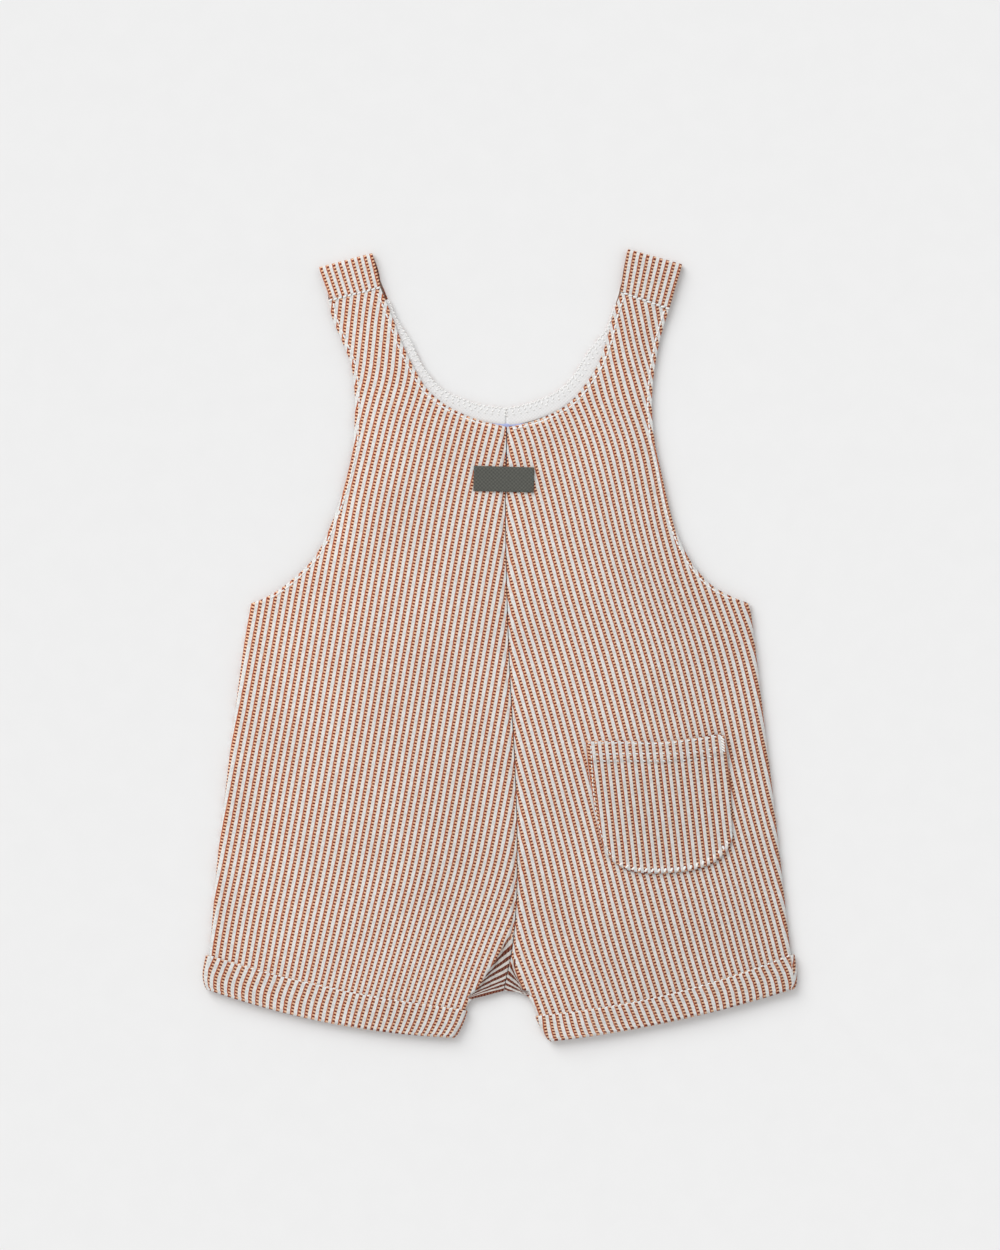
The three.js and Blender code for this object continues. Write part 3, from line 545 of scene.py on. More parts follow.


# Two-colour jacquard knit of matt cotton yarn: each brown stripe is a plain column beside a column of
# loops that show dark and pale in turn, and the white wales between them have small grey hollows of painted
# shade
knit = {
    "brown": "#b05a36",
    "darkLoop": "#6e220d",
    "paleLoop": "#f1c4a0",
    "shadedBrown": "#a63818",  # browns deep in a fold, where only light from the cloth itself reaches
    "white": "#ecebe8",
    "shadedWhite": "#fbf3ea",
    # grey of the small hollows in the white wales: painted shade
    "whiteHollowShade": "#b0b4b6",
    "loopPitch": 1.75,  # mm between dark loops along a stripe
    "middle": 0.26,  # near the middle of a brown stripe, as a share of the pitch
    "columnEnd": 0.17,  # where the plain column ends
    "stripeEnd": 0.53,
    "loopOver": 0.15,  # how far the loops run on under the white wales
    "course": 1.75,  # mm, two stitches of the white wales, as one alone is too fine to be seen
    "soft": 0.06,
    "wander": 0.14,  # how far the fibres make an edge uneven, as a share of the pitch
    "relief": 0.3,  # mm
    "fuzz": 1100.0,  # noise, in waves a metre: single fibres, flecks of colour and clouds of dye
    "fleck": 420.0,
    "cloud": 22.0,
}


def knitMaterial(name, slant, shear, shade=(1.0, 1.0, 1.0)):
    # slant: loops that a course climbs from one stripe to the next, shear: how much more in a stripe, and
    # shade: painted shade on the yarn's colours, channel by channel
    parts = startMaterial(name, 0.9, sheen=0.12)
    tree = parts[1]

    def sumOf(operation):
        return lambda a, b=0.0: calculate(tree, operation, a, b)

    plus, minus, times, over = (sumOf(name) for name in ("ADD", "SUBTRACT", "MULTIPLY", "DIVIDE"))
    fraction, size, greater = (sumOf(name) for name in ("FRACT", "ABSOLUTE", "MAXIMUM"))

    def ramp(value, low, high, start=0.0, end=1.0):
        return addNode(tree, "ShaderNodeMapRange", {"interpolation_type": "SMOOTHSTEP"},
                       {0: value, 1: low, 2: high, 3: start, 4: end}).outputs[0]

    def band(value, low, high):
        # 1 between low and high, with soft sides
        off = size(minus(value, (low + high) / 2))
        half = (high - low) / 2
        return ramp(off, half - knit["soft"], half + knit["soft"], 1.0, 0.0)

    def wave(turns, kind, half):
        # from 0 to 1 and back
        return plus(times(calculate(tree, kind, times(turns, 2 * math.pi)), half), 0.5)

    def yarn(key):
        return tuple(c * part for c, part in zip(toLinear(knit[key]), shade)) + (1.0,)

    uv = addNode(tree, "ShaderNodeUVMap", {"uv_map": "threads"}).outputs[0]
    across, along = addNode(tree, "ShaderNodeSeparateXYZ", inputs={0: uv}).outputs[:2]
    place = addNode(tree, "ShaderNodeTexCoord").outputs["Object"]
    fuzz = noise(tree, place, knit["fuzz"])
    fleck = noise(tree, place, knit["fleck"], 1.0)
    cloud = noise(tree, place, knit["cloud"])
    count = plus(plus(across, times(minus(fuzz, 0.5), knit["wander"])), knit["middle"])
    phase = fraction(count)
    climb = times(count, slant)
    loops = fraction(plus(plus(over(along, knit["loopPitch"]), climb), times(phase, shear)))
    # dark and pale loops take turns in the second column, with soft ends
    bead = ramp(wave(loops, "COSINE", -0.5), 0.1, 0.8)
    brownMask = band(phase, 0.0, knit["stripeEnd"])
    loopMask = band(phase, knit["columnEnd"], knit["stripeEnd"] + knit["loopOver"])
    columnColour = blended(tree, ramp(fleck, 0.5, 0.7, 0.0, 0.35), yarn("brown"), yarn("paleLoop"))
    loopColour = blended(tree, bead, yarn("paleLoop"), yarn("darkLoop"))
    brownColour = blended(tree, loopMask, columnColour, loopColour)
    # white wales: two to a stripe, their stitches meeting in a chevron, faint because they are so small;
    # the grey between their stitches and at their sides is painted shade
    wale = fraction(times(minus(phase, knit["stripeEnd"]), 2 / (1 - knit["stripeEnd"])))
    side = size(minus(times(wale, 2.0), 1.0))
    courses = plus(plus(over(along, knit["course"]), times(side, 0.5)), climb)
    hollowShadeAndFleck = greater(times(wave(courses, "SINE", 0.5), 0.42), times(ramp(side, 0.3, 1.0), 0.4))
    hollowShadeAndFleck = plus(hollowShadeAndFleck, ramp(fleck, 0.35, 0.65, -0.05, 0.2))
    # painted shade and painted bounce light: where the shade kept on the mesh is deep, browns deepen more
    # and both colours turn warmer, as in a fold lit only by light off the cloth
    depth = addNode(tree, "ShaderNodeAttribute", {"attribute_name": "dyeAndPaintedShade"}).outputs["Fac"]
    paintedShadeOnBrowns = times(depth, ramp(depth, 0.7, 0.86, 0.66, 1.0))
    paintedBounceWarmth = ramp(depth, 0.7, 0.86, 1.0, 0.0)
    whiteColour = blended(tree, paintedBounceWarmth, yarn("white"), yarn("shadedWhite"))
    whiteColour = blended(tree, hollowShadeAndFleck, whiteColour, yarn("whiteHollowShade"))
    brownColour = blended(tree, times(paintedBounceWarmth, 0.6), brownColour, yarn("shadedBrown"))
    colour = blended(tree, brownMask, whiteColour, scaled(tree, brownColour, paintedShadeOnBrowns))
    # the dye is a little uneven, and the painted shade kept on the mesh darkens it further
    dyeAndPaintedShade = times(ramp(cloud, 0.25, 0.75, 0.965, 1.035), depth)
    whiteRise = times(minus(1.0, brownMask), minus(1.0, hollowShadeAndFleck))
    beadRise = times(times(loopMask, bead), -0.6)
    height = plus(plus(whiteRise, beadRise), times(fuzz, 0.1))
    return finishMaterial(parts, scaled(tree, colour, dyeAndPaintedShade), 0.3, knit["relief"], height)


# Woven cotton tape and threads: plain white, matt, with a fine over-and-under weave
def wovenMaterial(name, colourA, colourB, threadMm, roughness=0.85, sheen=0.1, contrast=0.6):
    parts = startMaterial(name, roughness, sheen)
    tree = parts[1]
    place = addNode(tree, "ShaderNodeTexCoord").outputs["Object"]
    threads = scaled(tree, place, 1 / (threadMm * mm))
    axes = addNode(tree, "ShaderNodeSeparateXYZ", inputs={0: threads}).outputs[:2]
    waves = [calculate(tree, "SINE", calculate(tree, "MULTIPLY", axis, math.pi)) for axis in axes]
    over = calculate(tree, "MULTIPLY", *waves)
    total = calculate(tree, "ADD", calculate(tree, "MULTIPLY", over, 0.35), noise(tree, place, 1500.0))
    factor = calculate(tree, "MULTIPLY", total, contrast, clamp=True)
    colour = blended(tree, factor, toLinear(colourA), toLinear(colourB))
    return finishMaterial(parts, colour, 0.4, 0.12, total)


materials = {
    "frontLeft": knitMaterial("jacquardKnitLeft", 0.5, 0.0),
    "frontRight": knitMaterial("jacquardKnitRight", -0.52, -0.15),
    "pocket": knitMaterial("jacquardKnitPocket", 0.19, 0.0),
    "band": knitMaterial("jacquardKnitBand", 0.0, 0.2),
    "tape": wovenMaterial("cottonTape", "#eae9e8", "#d2d3d5", 0.9),
    "label": wovenMaterial("wovenLabelDamask", "#41423e", "#6d6d66", 1.0, roughness=0.75, contrast=0.7),
    "satin": wovenMaterial("satinRibbon", "#b3bbe2", "#9aa3d0", 0.5, roughness=0.4, sheen=0.2),
    "thread": wovenMaterial("polyesterThread", "#f4f3f1", "#e0dfdd", 0.5, roughness=0.6),
    # the cloth's inside: a darker, browner copy of the knit, partly its purl side and partly painted shade
    # in the shoulder turn
    "inside": knitMaterial("jacquardKnitInsideShaded", 0.0, 0.3, shade=(0.38, 0.24, 0.19)),
}
print("materials made")


def settle(piece, node, slot, flat, **more):
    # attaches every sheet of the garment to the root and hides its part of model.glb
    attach(piece, "root")
    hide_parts(node)


fronts = {}
cuffs = {}
tapes = {}
# columns of a front and a back, and how dense its ribs are
frontCounts = {"turn": 7, "flat": 56, "slope": 8, "dip": 8, "density": 1.0}
backCounts = {"turn": 5, "flat": 24, "slope": 2, "dip": 2, "density": 0.5}

# Crotch hollow: sections where it opens and ends, how its painted shade deepens from the fold to the seam,
# and the run along a stripe for 1 across
hollow = {
    "from": {"left": 9.05, "right": 9.35},
    "to": {"left": 12.0, "right": 11.4},
    "opening": 0.5,
    "shade": ((0, 0.15, 0.35, 1), (0, 0.25, 0.33, 0.15)),
    "along": 1.1,
}
# painted shade where the neckline meets the centre seam: sections and columns that it covers, and how dark
# it makes them
seamShade = {"sections": 0.45, "columns": 3, "dyeAndPaintedShade": 0.45}

# Fronts
for side in ("left", "right"):
    grid = gridOf(panelRibs(side, False, frontCounts))
    points = grid["points"]
    first = frontCounts["turn"] + frontCounts["flat"]
    hollowRows = [hollow["from"][side] < place < hollow["to"][side] for place in grid["places"]]
    hollowStripe = hollowCount(side, points[..., 0], points[..., 1])
    split = {
        "from": first + 2,
        "rows": hollowRows,
        "uv": np.stack([hollowStripe, points[..., 0] * hollow["along"]], axis=2),
    }
    dyeAndPaintedShade = np.ones(points.shape[:2])
    seamward = np.linspace(0, 1, dyeAndPaintedShade.shape[1] - first)
    for i, place in enumerate(grid["places"]):
        # painted shade in the crotch hollow, growing over its first sections and from the leg's fold to the
        # seam
        if hollowRows[i]:
            hollowShadeStrength = min(1.0, (place - hollow["from"][side]) / hollow["opening"])
            dyeAndPaintedShade[i, first:] = 1 - hollowShadeStrength * np.interp(seamward, *hollow["shade"])
        # painted shade below the neckline, beside the centre seam
        if neckSection <= place < neckSection + seamShade["sections"]:
            dyeAndPaintedShade[i, -seamShade["columns"]:] = seamShade["dyeAndPaintedShade"]
    piece = clothMesh(f"front_{side}_knit", grid, cloth["wall"], threadsOf(side, points),
                      materials["frontLeft" if side == "left" else "frontRight"], split=split, dyeAndPaintedShade=dyeAndPaintedShade)
    settle(piece, f"front_{side}", "striped_knit", (0.158, 0.392),
           area=0.0449 if side == "left" else 0.0415)
    fronts[side] = grid
print("fronts made")

# Straps turn over the shoulder: their ends are sewn to the fronts
strap = {
    "foldRadius": 1.5,
    "steps": 14,
    # the turn's last ribs take the darker inside material: the cloth's inside, partly painted shade
    "insideRibs": 5,  # last ribs of the turn, which show the cloth's inside
    "left": {"fold": ((-95.9, 200.3), (-67.6, 207.8)), "end": ((-89.9, 183.0), (-63.2, 189.8)),
             "first": 0.15, "pitch": 0.1171, "shift": 0.49, "bulge": 0.9},
    "right": {"fold": ((96.5, 201.9), (67.8, 210.0)), "end": ((89.6, 178.4), (63.8, 187.4)),
              "first": 0.147, "pitch": 0.1199, "shift": 0.3, "bulge": 0.3},
}


def strapPhase(side, share):
    # stripes run along the strap: their place is a share of its width
    return stripeSign[side] * (share - strap[side]["first"]) / strap[side]["pitch"]


def strapCount(side, x, y):
    fold = np.array(strap[side]["fold"])
    end = np.array(strap[side]["end"])
    across = fold[1] - fold[0]
    along = end.mean(axis=0) - fold.mean(axis=0)
    area = across[0] * along[1] - across[1] * along[0]
    return strapPhase(side, ((x - fold[0, 0]) * along[1] - (y - fold[0, 1]) * along[0]) / area)


def sharesAcross(rib):
    run = np.linalg.norm(rib - rib[0], axis=1)
    return run / run[-1]


def uprightTo(direction):
    up = np.array([-direction[1], direction[0]])
    return up if up[1] > 0 else -up


def strapRibs(side, firstRib):
    fold = np.array(strap[side]["fold"])
    end = np.array(strap[side]["end"])
    shares = sharesAcross(firstRib["points"])

    def chord(pair, z):
        plan = pair[0] + (pair[1] - pair[0]) * shares[:, None]
        return np.column_stack([plan, np.full(len(shares), z)])

    across = (fold[1] - fold[0]) / np.linalg.norm(fold[1] - fold[0])
    up = uprightTo(across)
    base = fold - up * (strap["foldRadius"] + cloth["wall"] / 2)
    ribs = [chord(mix(end, base, t), cloth["strapEndHeight"]) for t in (0, 0.02, 0.05, 0.25, 0.5, 0.75)]
    for k in range(strap["steps"] + 1):
        turn = math.pi * k / strap["steps"]
        layer = chord(base, cloth["backHeight"] + strap["foldRadius"] * (1 + math.cos(turn)))
        layer[:, :2] += up * strap["foldRadius"] * math.sin(turn)
        ribs.append(layer)
    for t in (0.25, 0.5, 0.75):
        # the layer below comes out a little beside the inner edge
        layer = chord(mix(base, end, t), cloth["backHeight"])
        layer[:, :2] += across * strap[side]["bulge"] * math.sin(math.pi * t) * shares[:, None] ** 4
        ribs.append(layer)
    tangent = np.append(across, 0.0)
    return [{"points": rib, "start": tangent, "end": tangent, "place": -1.0} for rib in ribs]


# Backs
for side in ("left", "right"):
    back = panelRibs(side, True, backCounts)
    turnOver = strapRibs(side, back[0])
    grid = gridOf(turnOver + back)
    points = grid["points"]
    over = len(turnOver)
    count = strapCount(side, points[..., 0], points[..., 1])
    count[:over] = strapPhase(side, sharesAcross(points[over]))
    rolled = stripeSign[side] * rollRun(points[over:]) / stripes["pitch"][side]
    count[over:] += strap[side]["shift"] + rolled
    uv = np.stack([count, -runOf(points)], axis=2)
    # the strap's turn shows the darker inside material there, partly painted shade
    piece = clothMesh(f"back_{side}_knit", grid, cloth["wall"], uv, materials["band"],
                      second=(over - strap["insideRibs"], materials["inside"]))
    settle(piece, f"back_{side}", "striped_knit", (0.158, 0.435), area=0.046 if side == "left" else 0.043)
print("backs made")

# Cuffs: flattened rings, turned up round each leg, their lower edge turned in
cuff = {
    "axisHeight": 3.0,
    "halfHeight": 2.4,
    "hemTurn": 0.75,
    "hemInside": 5.0,
    "hemSteps": 8,
    "across": 90,
    "ends": 12,
    "first": {"left": 0.0, "right": 0.43},
    "reference": 12,  # mm down from the top edge, where the stripes are counted
    "middleRow": 4,  # the row of points that lies there
    # stripes from the outer to the inner end: share of the width, pitch and lean from square
    "stripes": {"left": [(0, 3.95, 0.20), (0.35, 3.95, 0.15), (0.5, 3.7, 0.07), (0.65, 3.55, 0.04),
                         (1, 3.55, 0.04)],
                "right": [(0, 3.72, -0.28), (0.1, 3.72, -0.22), (0.25, 3.74, -0.10),
                          (0.45, 3.74, -0.12), (0.65, 3.76, -0.02), (0.8, 3.8, 0.1), (1, 3.8, 0.32)]},
    # rows from the top edge down: outer x, outer y, inner x, inner y and sag
    "left": [(-155.8, -163.8, -16.9, -193.3, 3.2), (-157.5, -174.1, -19.6, -200.6, 4.2),
             (-155.9, -182.2, -23.6, -208.0, 4.8)],
    "right": [(155.9, -163.3, 18.5, -196.3, 5.2), (157.4, -173.0, 21.9, -203.4, 4.0),
              (156.9, -181.5, 26.2, -209.9, 3.2)],
}


def cuffGrid(side):
    endInset = cuff["halfHeight"] + cloth["wall"] / 2
    bottomInset = cuff["hemTurn"] + cloth["wall"] / 2
    across = cuff["across"]
    turns = [math.pi * k / cuff["ends"] for k in range(1, cuff["ends"])]

    def column(place, k):
        return curve([(2 - i, row[k]) for i, row in enumerate(cuff[side])], 2 - place)

    def ring(place, inset, upward):
        outer = np.array([column(place, 0), column(place, 1)])
        inner = np.array([column(place, 2), column(place, 3)])
        toward = (inner - outer) / np.linalg.norm(inner - outer)
        start = outer + toward * endInset
        end = inner - toward * endInset
        half = cuff["halfHeight"] - inset
        middle = cuff["axisHeight"]
        u = np.linspace(0, 1, across + 1)
        plan = start + (end - start) * u[:, None] + uprightTo(toward) * upward
        plan[:, 1] -= column(place, 4) * 4 * u * (1 - u)

        def bend(point, way):
            # round an end, from the front to the back or from the back to the front
            return [np.append(point + way * half * toward * math.sin(t), middle + way * half * math.cos(t))
                    for t in turns]

        front = np.column_stack([plan, np.full(across + 1, middle + half)])
        back = np.column_stack([plan[::-1], np.full(across + 1, middle - half)])
        return np.concatenate([front, bend(plan[-1], 1), back, bend(plan[0], -1)])

    rings = [ring(place, 0, 0) for place in (0, 0.03, 0.08, 0.25, 0.5, 0.75, 1, 1.25, 1.5, 1.75)]
    hem = cuff["hemTurn"]
    for k in range(cuff["hemSteps"] + 1):
        turn = math.pi * k / cuff["hemSteps"]
        rings.append(ring(2, hem * (1 - math.cos(turn)), bottomInset - hem * math.sin(turn)))
    rings += [ring(2, 2 * hem, bottomInset + cuff["hemInside"] * t) for t in (0.4, 0.9, 0.97, 1)]
    points = np.stack(rings)
    middleRow = points[cuff["middleRow"]]
    lengths = np.diff(runOf(middleRow))
    table = np.array(cuff["stripes"][side])
    share = np.clip(np.arange(len(lengths) + 1) / across, 0, 1)
    pitch = np.interp(share, table[:, 0], table[:, 1])
    skew = np.interp(share, table[:, 0], table[:, 2])
    first = cuff["first"][side]
    count = stripeSign[side] * np.concatenate([[0], np.cumsum(lengths / pitch[1:])])
    down = runOf(points)
    closing = stripeSign[side] * np.linalg.norm(middleRow[0] - middleRow[-1]) / pitch[-1] + first
    uv = np.stack([count + first + skew * (down - cuff["reference"]) / pitch, -down], axis=2)
    return {"points": points, "round": count[-1] + closing}, uv


for side in ("left", "right"):
    grid, uv = cuffGrid(side)
    # the left cuff is made a little darker than the right
    piece = clothMesh(f"cuff_{side}_knit", grid, cloth["wall"], uv, materials["band"], loop=True,
                      dyeAndPaintedShade=0.965 if side == "left" else 1.0)
    settle(piece, f"cuff_{side}", "striped_knit", (0.285, 0.026))
    cuffs[side] = grid
print("cuffs made")

# Pocket: columns from left to right, with the top point, the bottom point and how far the corner lifts
pocket = {
    "columns": [(45.0, -50.9, 53.5, -104.2, 0), (51.9, -50.6, 57.5, -112.0, 0),
                (62.5, -50.4, 66.0, -118.2, 0), (74.2, -50.6, 76.9, -120.4, 0),
                (85.7, -50.9, 87.5, -120.4, 0.1), (97.0, -49.6, 100.7, -119.0, 0.4),
                (108.3, -48.2, 112.4, -115.3, 0.8), (114.0, -47.0, 119.3, -109.5, 1.2),
                (119.0, -47.6, 122.9, -102.0, 1.4)],
    "count": 57,
    "margin": 0.08,  # share of the width beside each edge that bulges out
    "hem": 10.6,
    "hemExtra": 1.0,
    "bulge": 0.84,
    "liftEnd": 0.35,  # share of the height where the corner's lift ends
    "roll": 3.4,
    "rollHeight": 0.7,
    "pitch": 3.55,
    "lean": -0.126,
    "start": 54.6,  # middle of a brown stripe at the reference height
    "reference": -81.9,
    "strip": 1.1,  # middle of the turned strip's stripe, from the left edge
}


def splineColumns(rows, count):
    # Catmull-Rom through the table's rows
    table = np.array(rows, dtype=float)
    padded = np.vstack([2 * table[0] - table[1], table, 2 * table[-1] - table[-2]])
    result = []
    for place in np.linspace(0, len(table) - 1, count):
        i = min(int(place), len(table) - 2)
        t = place - i
        a, b, c, d = padded[i:i + 4]
        result.append(0.5 * (2 * b + (c - a) * t + (2 * a - 5 * b + 4 * c - d) * t ** 2
                             + (3 * b - a - 3 * c + d) * t ** 3))
    return np.array(result)


def pocketGrid():
    columns = splineColumns(pocket["columns"], pocket["count"])
    share = np.linspace(0, 1, len(columns))
    margin = pocket["margin"]
    sideward = np.interp(share, (0, margin, 1 - margin, 1), (-1, 0, 0, 1))
    v = np.concatenate([[0, 0.004, 0.012], np.linspace(0.03, 0.985, 60), [0.993, 0.998, 1]])[:, None]
    x = mix(columns[:, 0], columns[:, 2], v) + sideward * pocket["bulge"] * 4 * v * (1 - v)
    y = mix(columns[:, 1], columns[:, 3], v)
    lift = np.maximum(columns[:, 4], 0) * (1 - smooth(v / pocket["liftEnd"]))
    z = cloth["frontHeight"] + creaseHeight(x, y) + cloth["wall"] + cloth["seamGap"] + lift
    # the hem is doubled, and the lower edge is turned to a narrow round roll
    depth = y[0] - y
    extra = pocket["hemExtra"] * (1 - smooth((depth - pocket["hem"] + 0.8) / 1.6))
    roll = np.clip((y - columns[:, 3]) / pocket["roll"], 0, 1)
    extra = extra + pocket["rollHeight"] * np.sin(math.pi * roll) ** 0.7 * (roll < 1)
    # the pocket is cut the other way up, so its columns run from right to left
    counted = pocket["start"] + pocket["lean"] * (y - pocket["reference"]) - x
    uv = np.stack([counted / pocket["pitch"], y], axis=2)
    # along the left edge the turned strip shows one stripe of its own
    strip = np.stack([(x - x[:, :1] - pocket["strip"]) / pocket["pitch"], y], axis=2)
    split = {"from": 2, "rows": [True] * len(v), "uv": uv}
    return {"points": np.stack([x, y, z], axis=2)}, strip, split, extra


pocketForm, stripUv, split, pocketExtra = pocketGrid()
# the pocket is made a little darker all over, as painted shade
pocketPiece = clothMesh("pocket_knit", pocketForm, cloth["wall"], stripUv, materials["pocket"], split=split,
                        extra=pocketExtra, dyeAndPaintedShade=0.96)
settle(pocketPiece, "pocket", "striped_knit", (0.078, 0.086), rests_on=["front_right"])
print("pocket made")

# Chest label, tape and neck label
chestLabel = {"x": 2.0, "y": 88.0, "width": 32.0, "height": 13.3, "turn": -1.5}
neckLabel = {"x": 4.0, "top": 117.6, "width": 24.0, "height": 22.0}
tape = {"left": 8.8, "right": 9.4, "height": 2.0, "gap": 0.06, "belowTop": 6, "steps": 90}


def edgeSteps(count):
    return np.concatenate([[0, 0.006, 0.015], np.linspace(0.04, 0.96, count), [0.985, 0.994, 1]])


def flatGrid(x, y, z):
    return {"points": np.stack([x, y, np.full(x.shape, z)], axis=2)}


def chestLabelGrid():
    turn = math.radians(chestLabel["turn"])
    across = chestLabel["width"] * (edgeSteps(20) - 0.5)[None, :]
    down = chestLabel["height"] * (0.5 - edgeSteps(10))[:, None]
    x = chestLabel["x"] + across * math.cos(turn) - down * math.sin(turn)
    y = chestLabel["y"] + across * math.sin(turn) + down * math.cos(turn)
    return flatGrid(x, y, cloth["frontHeight"] + cloth["wall"] / 2 + cloth["seamGap"] + cloth["tape"] / 2)


def tapeGrid(side):
    rows = backNeck[side]
    top = sections[side][0][1] - tape["belowTop"]
    heights = [mix(rows[-1][0], top, (k / tape["steps"]) ** 2) for k in range(tape["steps"] + 1)]
    edge = np.array([(curve(rows, y), y) for y in heights])
    ahead = np.gradient(edge, axis=0)
    inward = np.column_stack([ahead[:, 1], -ahead[:, 0]])
    inward /= np.linalg.norm(inward, axis=1)[:, None]
    inward[inward[:, 1] > 0] *= -1
    inward[0] = (0, -1)
    edge[0, 0] += math.copysign(tape["gap"] / 2, edge[1, 0] - edge[0, 0])
    plan = edge[:, None, :] + inward[:, None, :] * tape[side] * edgeSteps(6)[None, :, None]
    return flatGrid(plan[..., 0], plan[..., 1], tape["height"])


def neckLabelGrid():
    x, down = np.meshgrid(neckLabel["x"] + neckLabel["width"] * (edgeSteps(12) - 0.5), edgeSteps(12))
    return flatGrid(x, neckLabel["top"] - neckLabel["height"] * down, tape["height"])


def wovenPiece(name, grid, material):
    return clothMesh(name, grid, cloth["tape"], grid["points"][..., :2], materials[material])


labelPiece = wovenPiece("chest_label_woven", chestLabelGrid(), "label")
settle(labelPiece, "chest_label", "label_weave", (0.032, 0.0133), rests_on=["front_left", "front_right"])
for side in ("left", "right"):
    tapes[side] = tapeGrid(side)
    piece = wovenPiece(f"neck_tape_{side}_woven", tapes[side], "tape")
    settle(piece, f"neck_tape_{side}", "white_tape", (0.104, 0.0102), area=0.1 * tape[side] * mm,
           rests_on=[f"back_{side}"])
neckPiece = wovenPiece("neck_label_satin", neckLabelGrid(), "satin")
settle(neckPiece, "neck_label", "satin", (0.024, 0.022), rests_on=["back_left", "back_right"])
print("labels and tape made")

# Sewing: rows of short rounded stitches laid on the cloth. Each row has the length of its stitches, the gap
# between them, how far each turns across the row, and its thickness
sewing = {
    "sides": 6,
    "flat": 0.75,
    "profile": ((-0.02, 0.35), (0.12, 0.85), (0.5, 1.0), (0.88, 0.85), (1.02, 0.35)),
    "step": 0.1,
    "neckInset": 2.5,
    "armInset": 2.2,
    "edge": (2.4, 0.5, 0.0, 0.46),
    "strap": (2.1, 0.5, 0.4, 0.55),
    "cuff": (1.5, 2.2, 0.3, 0.38),
    "rope": (1.15, 2.3, 1.9, 0.64),
    "tack": (1.5, 0.0, 1.6, 0.5),
    "strapHeight": 4.35,
    "cuffHeight": 5.75,
    "tapeHeight": 2.55,
}


def beadMesh(name, stitches, radius):
    # one mesh of rounded stitches, each from a start point to an end point
    vertices = []
    faces = []
    sides = sewing["sides"]
    turns = [2 * math.pi * k / sides for k in range(sides)]
    for start, end in stitches:
        axis = end - start
        length = np.linalg.norm(axis)
        axis = axis / length
        beside = np.cross((0, 0, 1), axis)
        beside /= np.linalg.norm(beside)
        up = np.cross(axis, beside) * sewing["flat"]
        base = len(vertices)
        for place, size in sewing["profile"]:
            centre = start + axis * length * place
            vertices += [centre + radius * size * (beside * math.cos(t) + up * math.sin(t)) for t in turns]
        last = base + sides * (len(sewing["profile"]) - 1)
        for ring in range(base, last, sides):
            for k in range(sides):
                a = ring + k
                b = ring + (k + 1) % sides
                faces.append((a, b, b + sides, a + sides))
        faces.append(tuple(range(base + sides - 1, base - 1, -1)))
        faces.append(tuple(range(last, last + sides)))
    mesh = bpy.data.meshes.new(name)
    mesh.from_pydata((np.array(vertices) * mm).tolist(), [], faces)
    piece = addPiece(name, mesh, materials["thread"])
    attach(piece, "root")


def stitchRow(path, length, gap, slant=0.0):
    # start and end points of stitches along a plan path; a slant turns each across the row
    path = np.array(path, dtype=float)
    travelled = runOf(path)
    at = np.arange(0, travelled[-1], sewing["step"])
    points = np.column_stack([np.interp(at, travelled, path[:, k]) for k in (0, 1)])
    step = int(round((length + gap) / sewing["step"]))
    reach = int(round(length / sewing["step"]))
    row = []
    for k in range(0, len(points) - reach - 1, step):
        a, b = points[k], points[k + reach]
        across = np.array([-(b - a)[1], (b - a)[0]]) / np.linalg.norm(b - a)
        row.append((a - across * slant / 2, b + across * slant / 2))
    return row


def atHeight(row, height):
    return [(np.append(a, height), np.append(b, height)) for a, b in row]


def onSheet(row, grid, lift, extra=0.0):
    # lays each stitch at the height of the sheet's grid point nearest to its middle
    points = grid["points"]
    tops = points[..., 2] + cloth["wall"] / 2 + extra
    laid = []
    for stitch in row:
        x, y = sum(stitch) / 2
        nearest = np.argmin((points[..., 0] - x) ** 2 + (points[..., 1] - y) ** 2)
        laid += atHeight([stitch], tops.ravel()[nearest] + lift)
    return laid


# rows beside the necklines and armholes, where the edge is turned and stitched down
for side in ("left", "right"):
    grid = fronts[side]
    seamRow = []
    *row, radius = sewing["edge"]
    for inset, columns, lastSection in ((sewing["neckInset"], slice(None, None, -1), neckSection),
                                        (sewing["armInset"], slice(None), underarmSection)):
        path = []
        for rib, place in zip(grid["points"], grid["places"]):
            if 0.1 <= place <= lastSection - 0.1:
                rib = rib[columns]
                run = runOf(rib[:, :2])
                path.append([np.interp(inset, run, rib[:, k]) for k in (0, 1)])
        if lastSection == neckSection:
            path.append([centreSeam[1][1] - 0.8 * stripeSign[side], centreSeam[1][0] - 1.9])
        seamRow += onSheet(stitchRow(path, *row), grid, 0.05)
    beadMesh(f"edge_stitches_{side}", seamRow, radius)
    # the strap's end is sewn down along the front's top edge, and dashes hold the cuff's turned-up edge
    for name, path in (("strap", grid["points"][0][:, :2]),
                       ("cuff", cuffs[side]["points"][0][:cuff["across"] + 1, :2])):
        *row, radius = sewing[name]
        seamRow = atHeight(stitchRow(path, *row), sewing[f"{name}Height"])
        beadMesh(f"{name}_stitches_{side}", seamRow, radius)

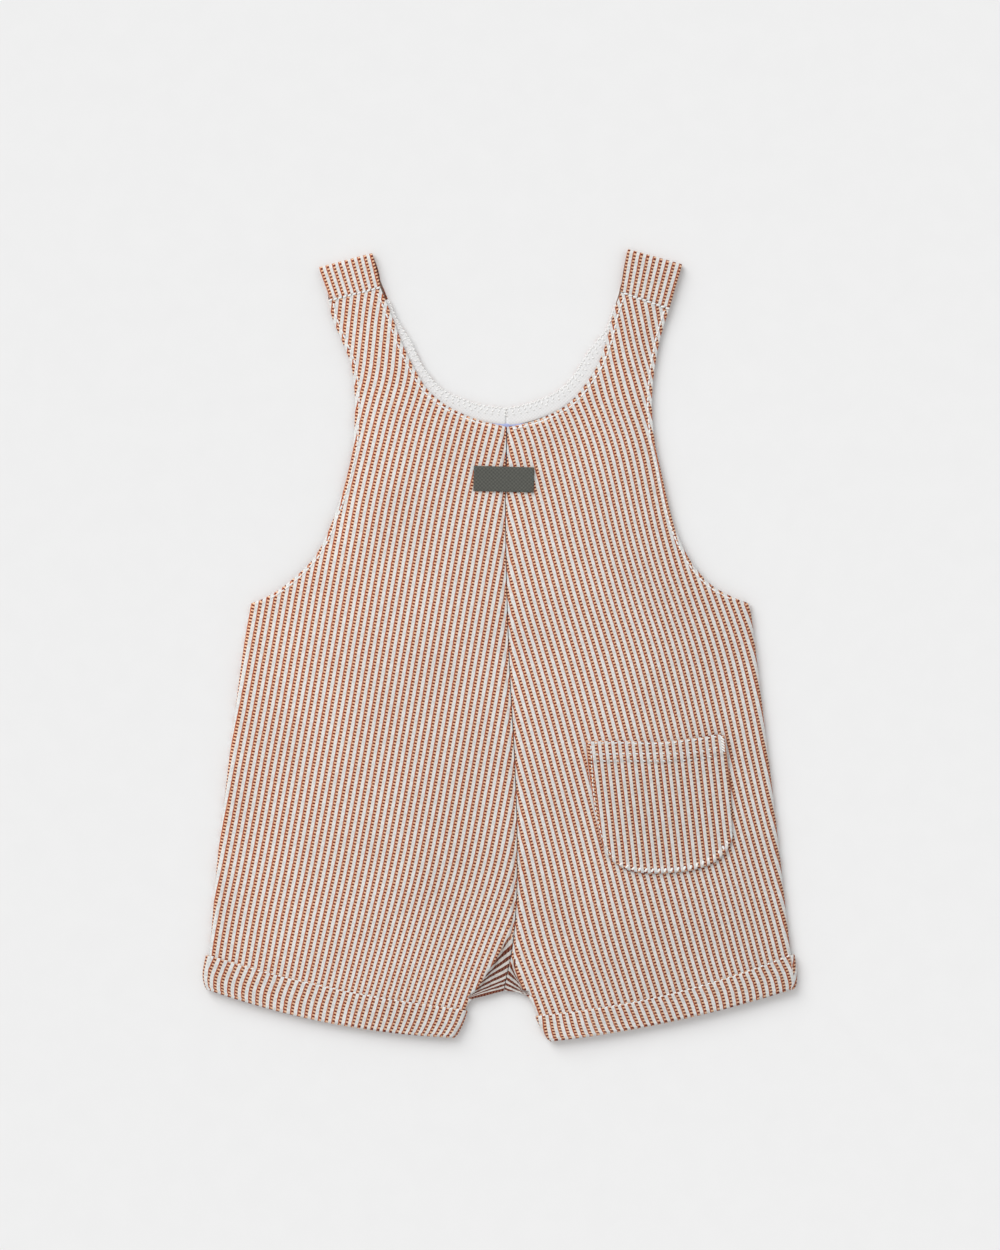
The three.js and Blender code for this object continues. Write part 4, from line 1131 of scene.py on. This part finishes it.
# pocket: twin rows of the hem, its top edge, the left edge and the rope-like turned lower edge
pocketRows = {
    "top": [(46.5, -51.6), (62.5, -51.4), (85.7, -51.9), (97.0, -50.6), (108.3, -49.2), (114.0, -48.0),
            (118.4, -48.4)],
    "upper": [(50.6, -57.4), (62.5, -57.2), (85.0, -57.0), (100.0, -56.8), (108.0, -55.6), (116.5, -53.4)],
    "lower": [(51.0, -61.0), (62.5, -61.0), (85.0, -61.0), (100.0, -60.6), (108.0, -59.4), (116.5, -57.2)],
    "left": [(48.0, -53.0), (48.4, -62.0), (49.2, -75.0), (51.0, -90.0), (53.6, -100.0), (56.6, -107.6),
             (59.6, -111.7), (62.2, -114.0)],
    "rope": [(63.6, -115.2), (66.0, -116.4), (71.0, -118.0), (76.9, -118.7), (84.0, -118.9),
             (92.0, -118.4), (100.7, -117.2), (108.0, -114.6), (113.0, -111.8), (117.4, -108.0),
             (120.6, -103.4)],
    "tack": [(117.6, -48.6), (118.2, -57.6)],
    "radius": 0.33,
}
rows = []
for key, *row in (("top", 1.5, 2.05, 0.2), ("upper", 1.4, 2.15, -0.3), ("lower", 1.4, 2.15, -0.3),
                  ("left", 1.6, 0.9, 0.0)):
    rows += onSheet(stitchRow(pocketRows[key], *row), pocketForm, 0.05, pocketExtra)
beadMesh("pocket_stitches", rows, pocketRows["radius"])
for name, key, lift in (("pocket_roll_stitches", "rope", -0.05), ("pocket_tack", "tack", 0.1)):
    *row, radius = sewing[key]
    beadMesh(name, onSheet(stitchRow(pocketRows[key], *row), pocketForm, lift, pocketExtra), radius)

# tape: rows of small loops along it, each in its own column of the tape's grid
for side in ("left", "right"):
    rows = []
    for column, gap, slant in ((2, 1.3, 0.9), (3, 1.9, -1.0), (4, 2.3, 1.1), (5, 2.7, -0.9)):
        rows += stitchRow(tapes[side]["points"][:, column, :2], 0.9, gap, slant)
    beadMesh(f"tape_loops_{side}", atHeight(rows, sewing["tapeHeight"]), 0.4)
print("sewing made")

# Surface, light and camera
view = {
    "metresPerPixel": 0.53 * mm,
    "imageSize": (1000, 1250),
    "origin": (500, 645.5),  # pixel of the garment's centre
    "distance": 2.4,
    "sensor": 36.0,
}
floorMesh = bpy.data.meshes.new("paleSurface")
floorMesh.from_pydata([(-3, -3, 0), (3, -3, 0), (3, 3, 0), (-3, 3, 0)], [], [(0, 1, 2, 3)])
floorMaterial, floorTree, floorShader = startMaterial("paleMattPaper", 0.95)
grain = addNode(floorTree, "ShaderNodeTexNoise", inputs={"Scale": 400.0}).outputs[0]
tint = blended(floorTree, grain, toLinear("#e9e9e9"), toLinear("#ececec"))
floorTree.links.new(tint, floorShader.inputs["Base Color"])
floor = addPiece("pale_surface", floorMesh, floorMaterial)

camera = bpy.data.cameras.new("camera")
camera.sensor_width = view["sensor"]
tall = view["imageSize"][1] * view["metresPerPixel"]
camera.lens = view["sensor"] * view["distance"] / tall
cameraObject = addObject("camera", camera)
centreY = (view["origin"][1] - view["imageSize"][1] / 2) * view["metresPerPixel"]
cameraObject.location = (0, centreY, view["distance"])
bpy.context.scene.camera = cameraObject

light = {"sunStrength": 1.72, "sunAngle": 45, "lean": -38, "fill": 0.707}
sun = bpy.data.lights.new("softKey", "SUN")
sun.energy = light["sunStrength"]
sun.angle = math.radians(light["sunAngle"])
sunObject = addObject("softKey", sun)
sunObject.rotation_euler = (math.radians(light["lean"]), math.radians(light["lean"]), 0)
world = bpy.data.worlds.new("studio")
world.use_nodes = True
background = world.node_tree.nodes["Background"]
background.inputs["Color"].default_value = (1, 1, 1, 1)
background.inputs["Strength"].default_value = light["fill"]
bpy.context.scene.world = world
bpy.context.scene.view_settings.view_transform = "Standard"
print("surface, light and camera made")
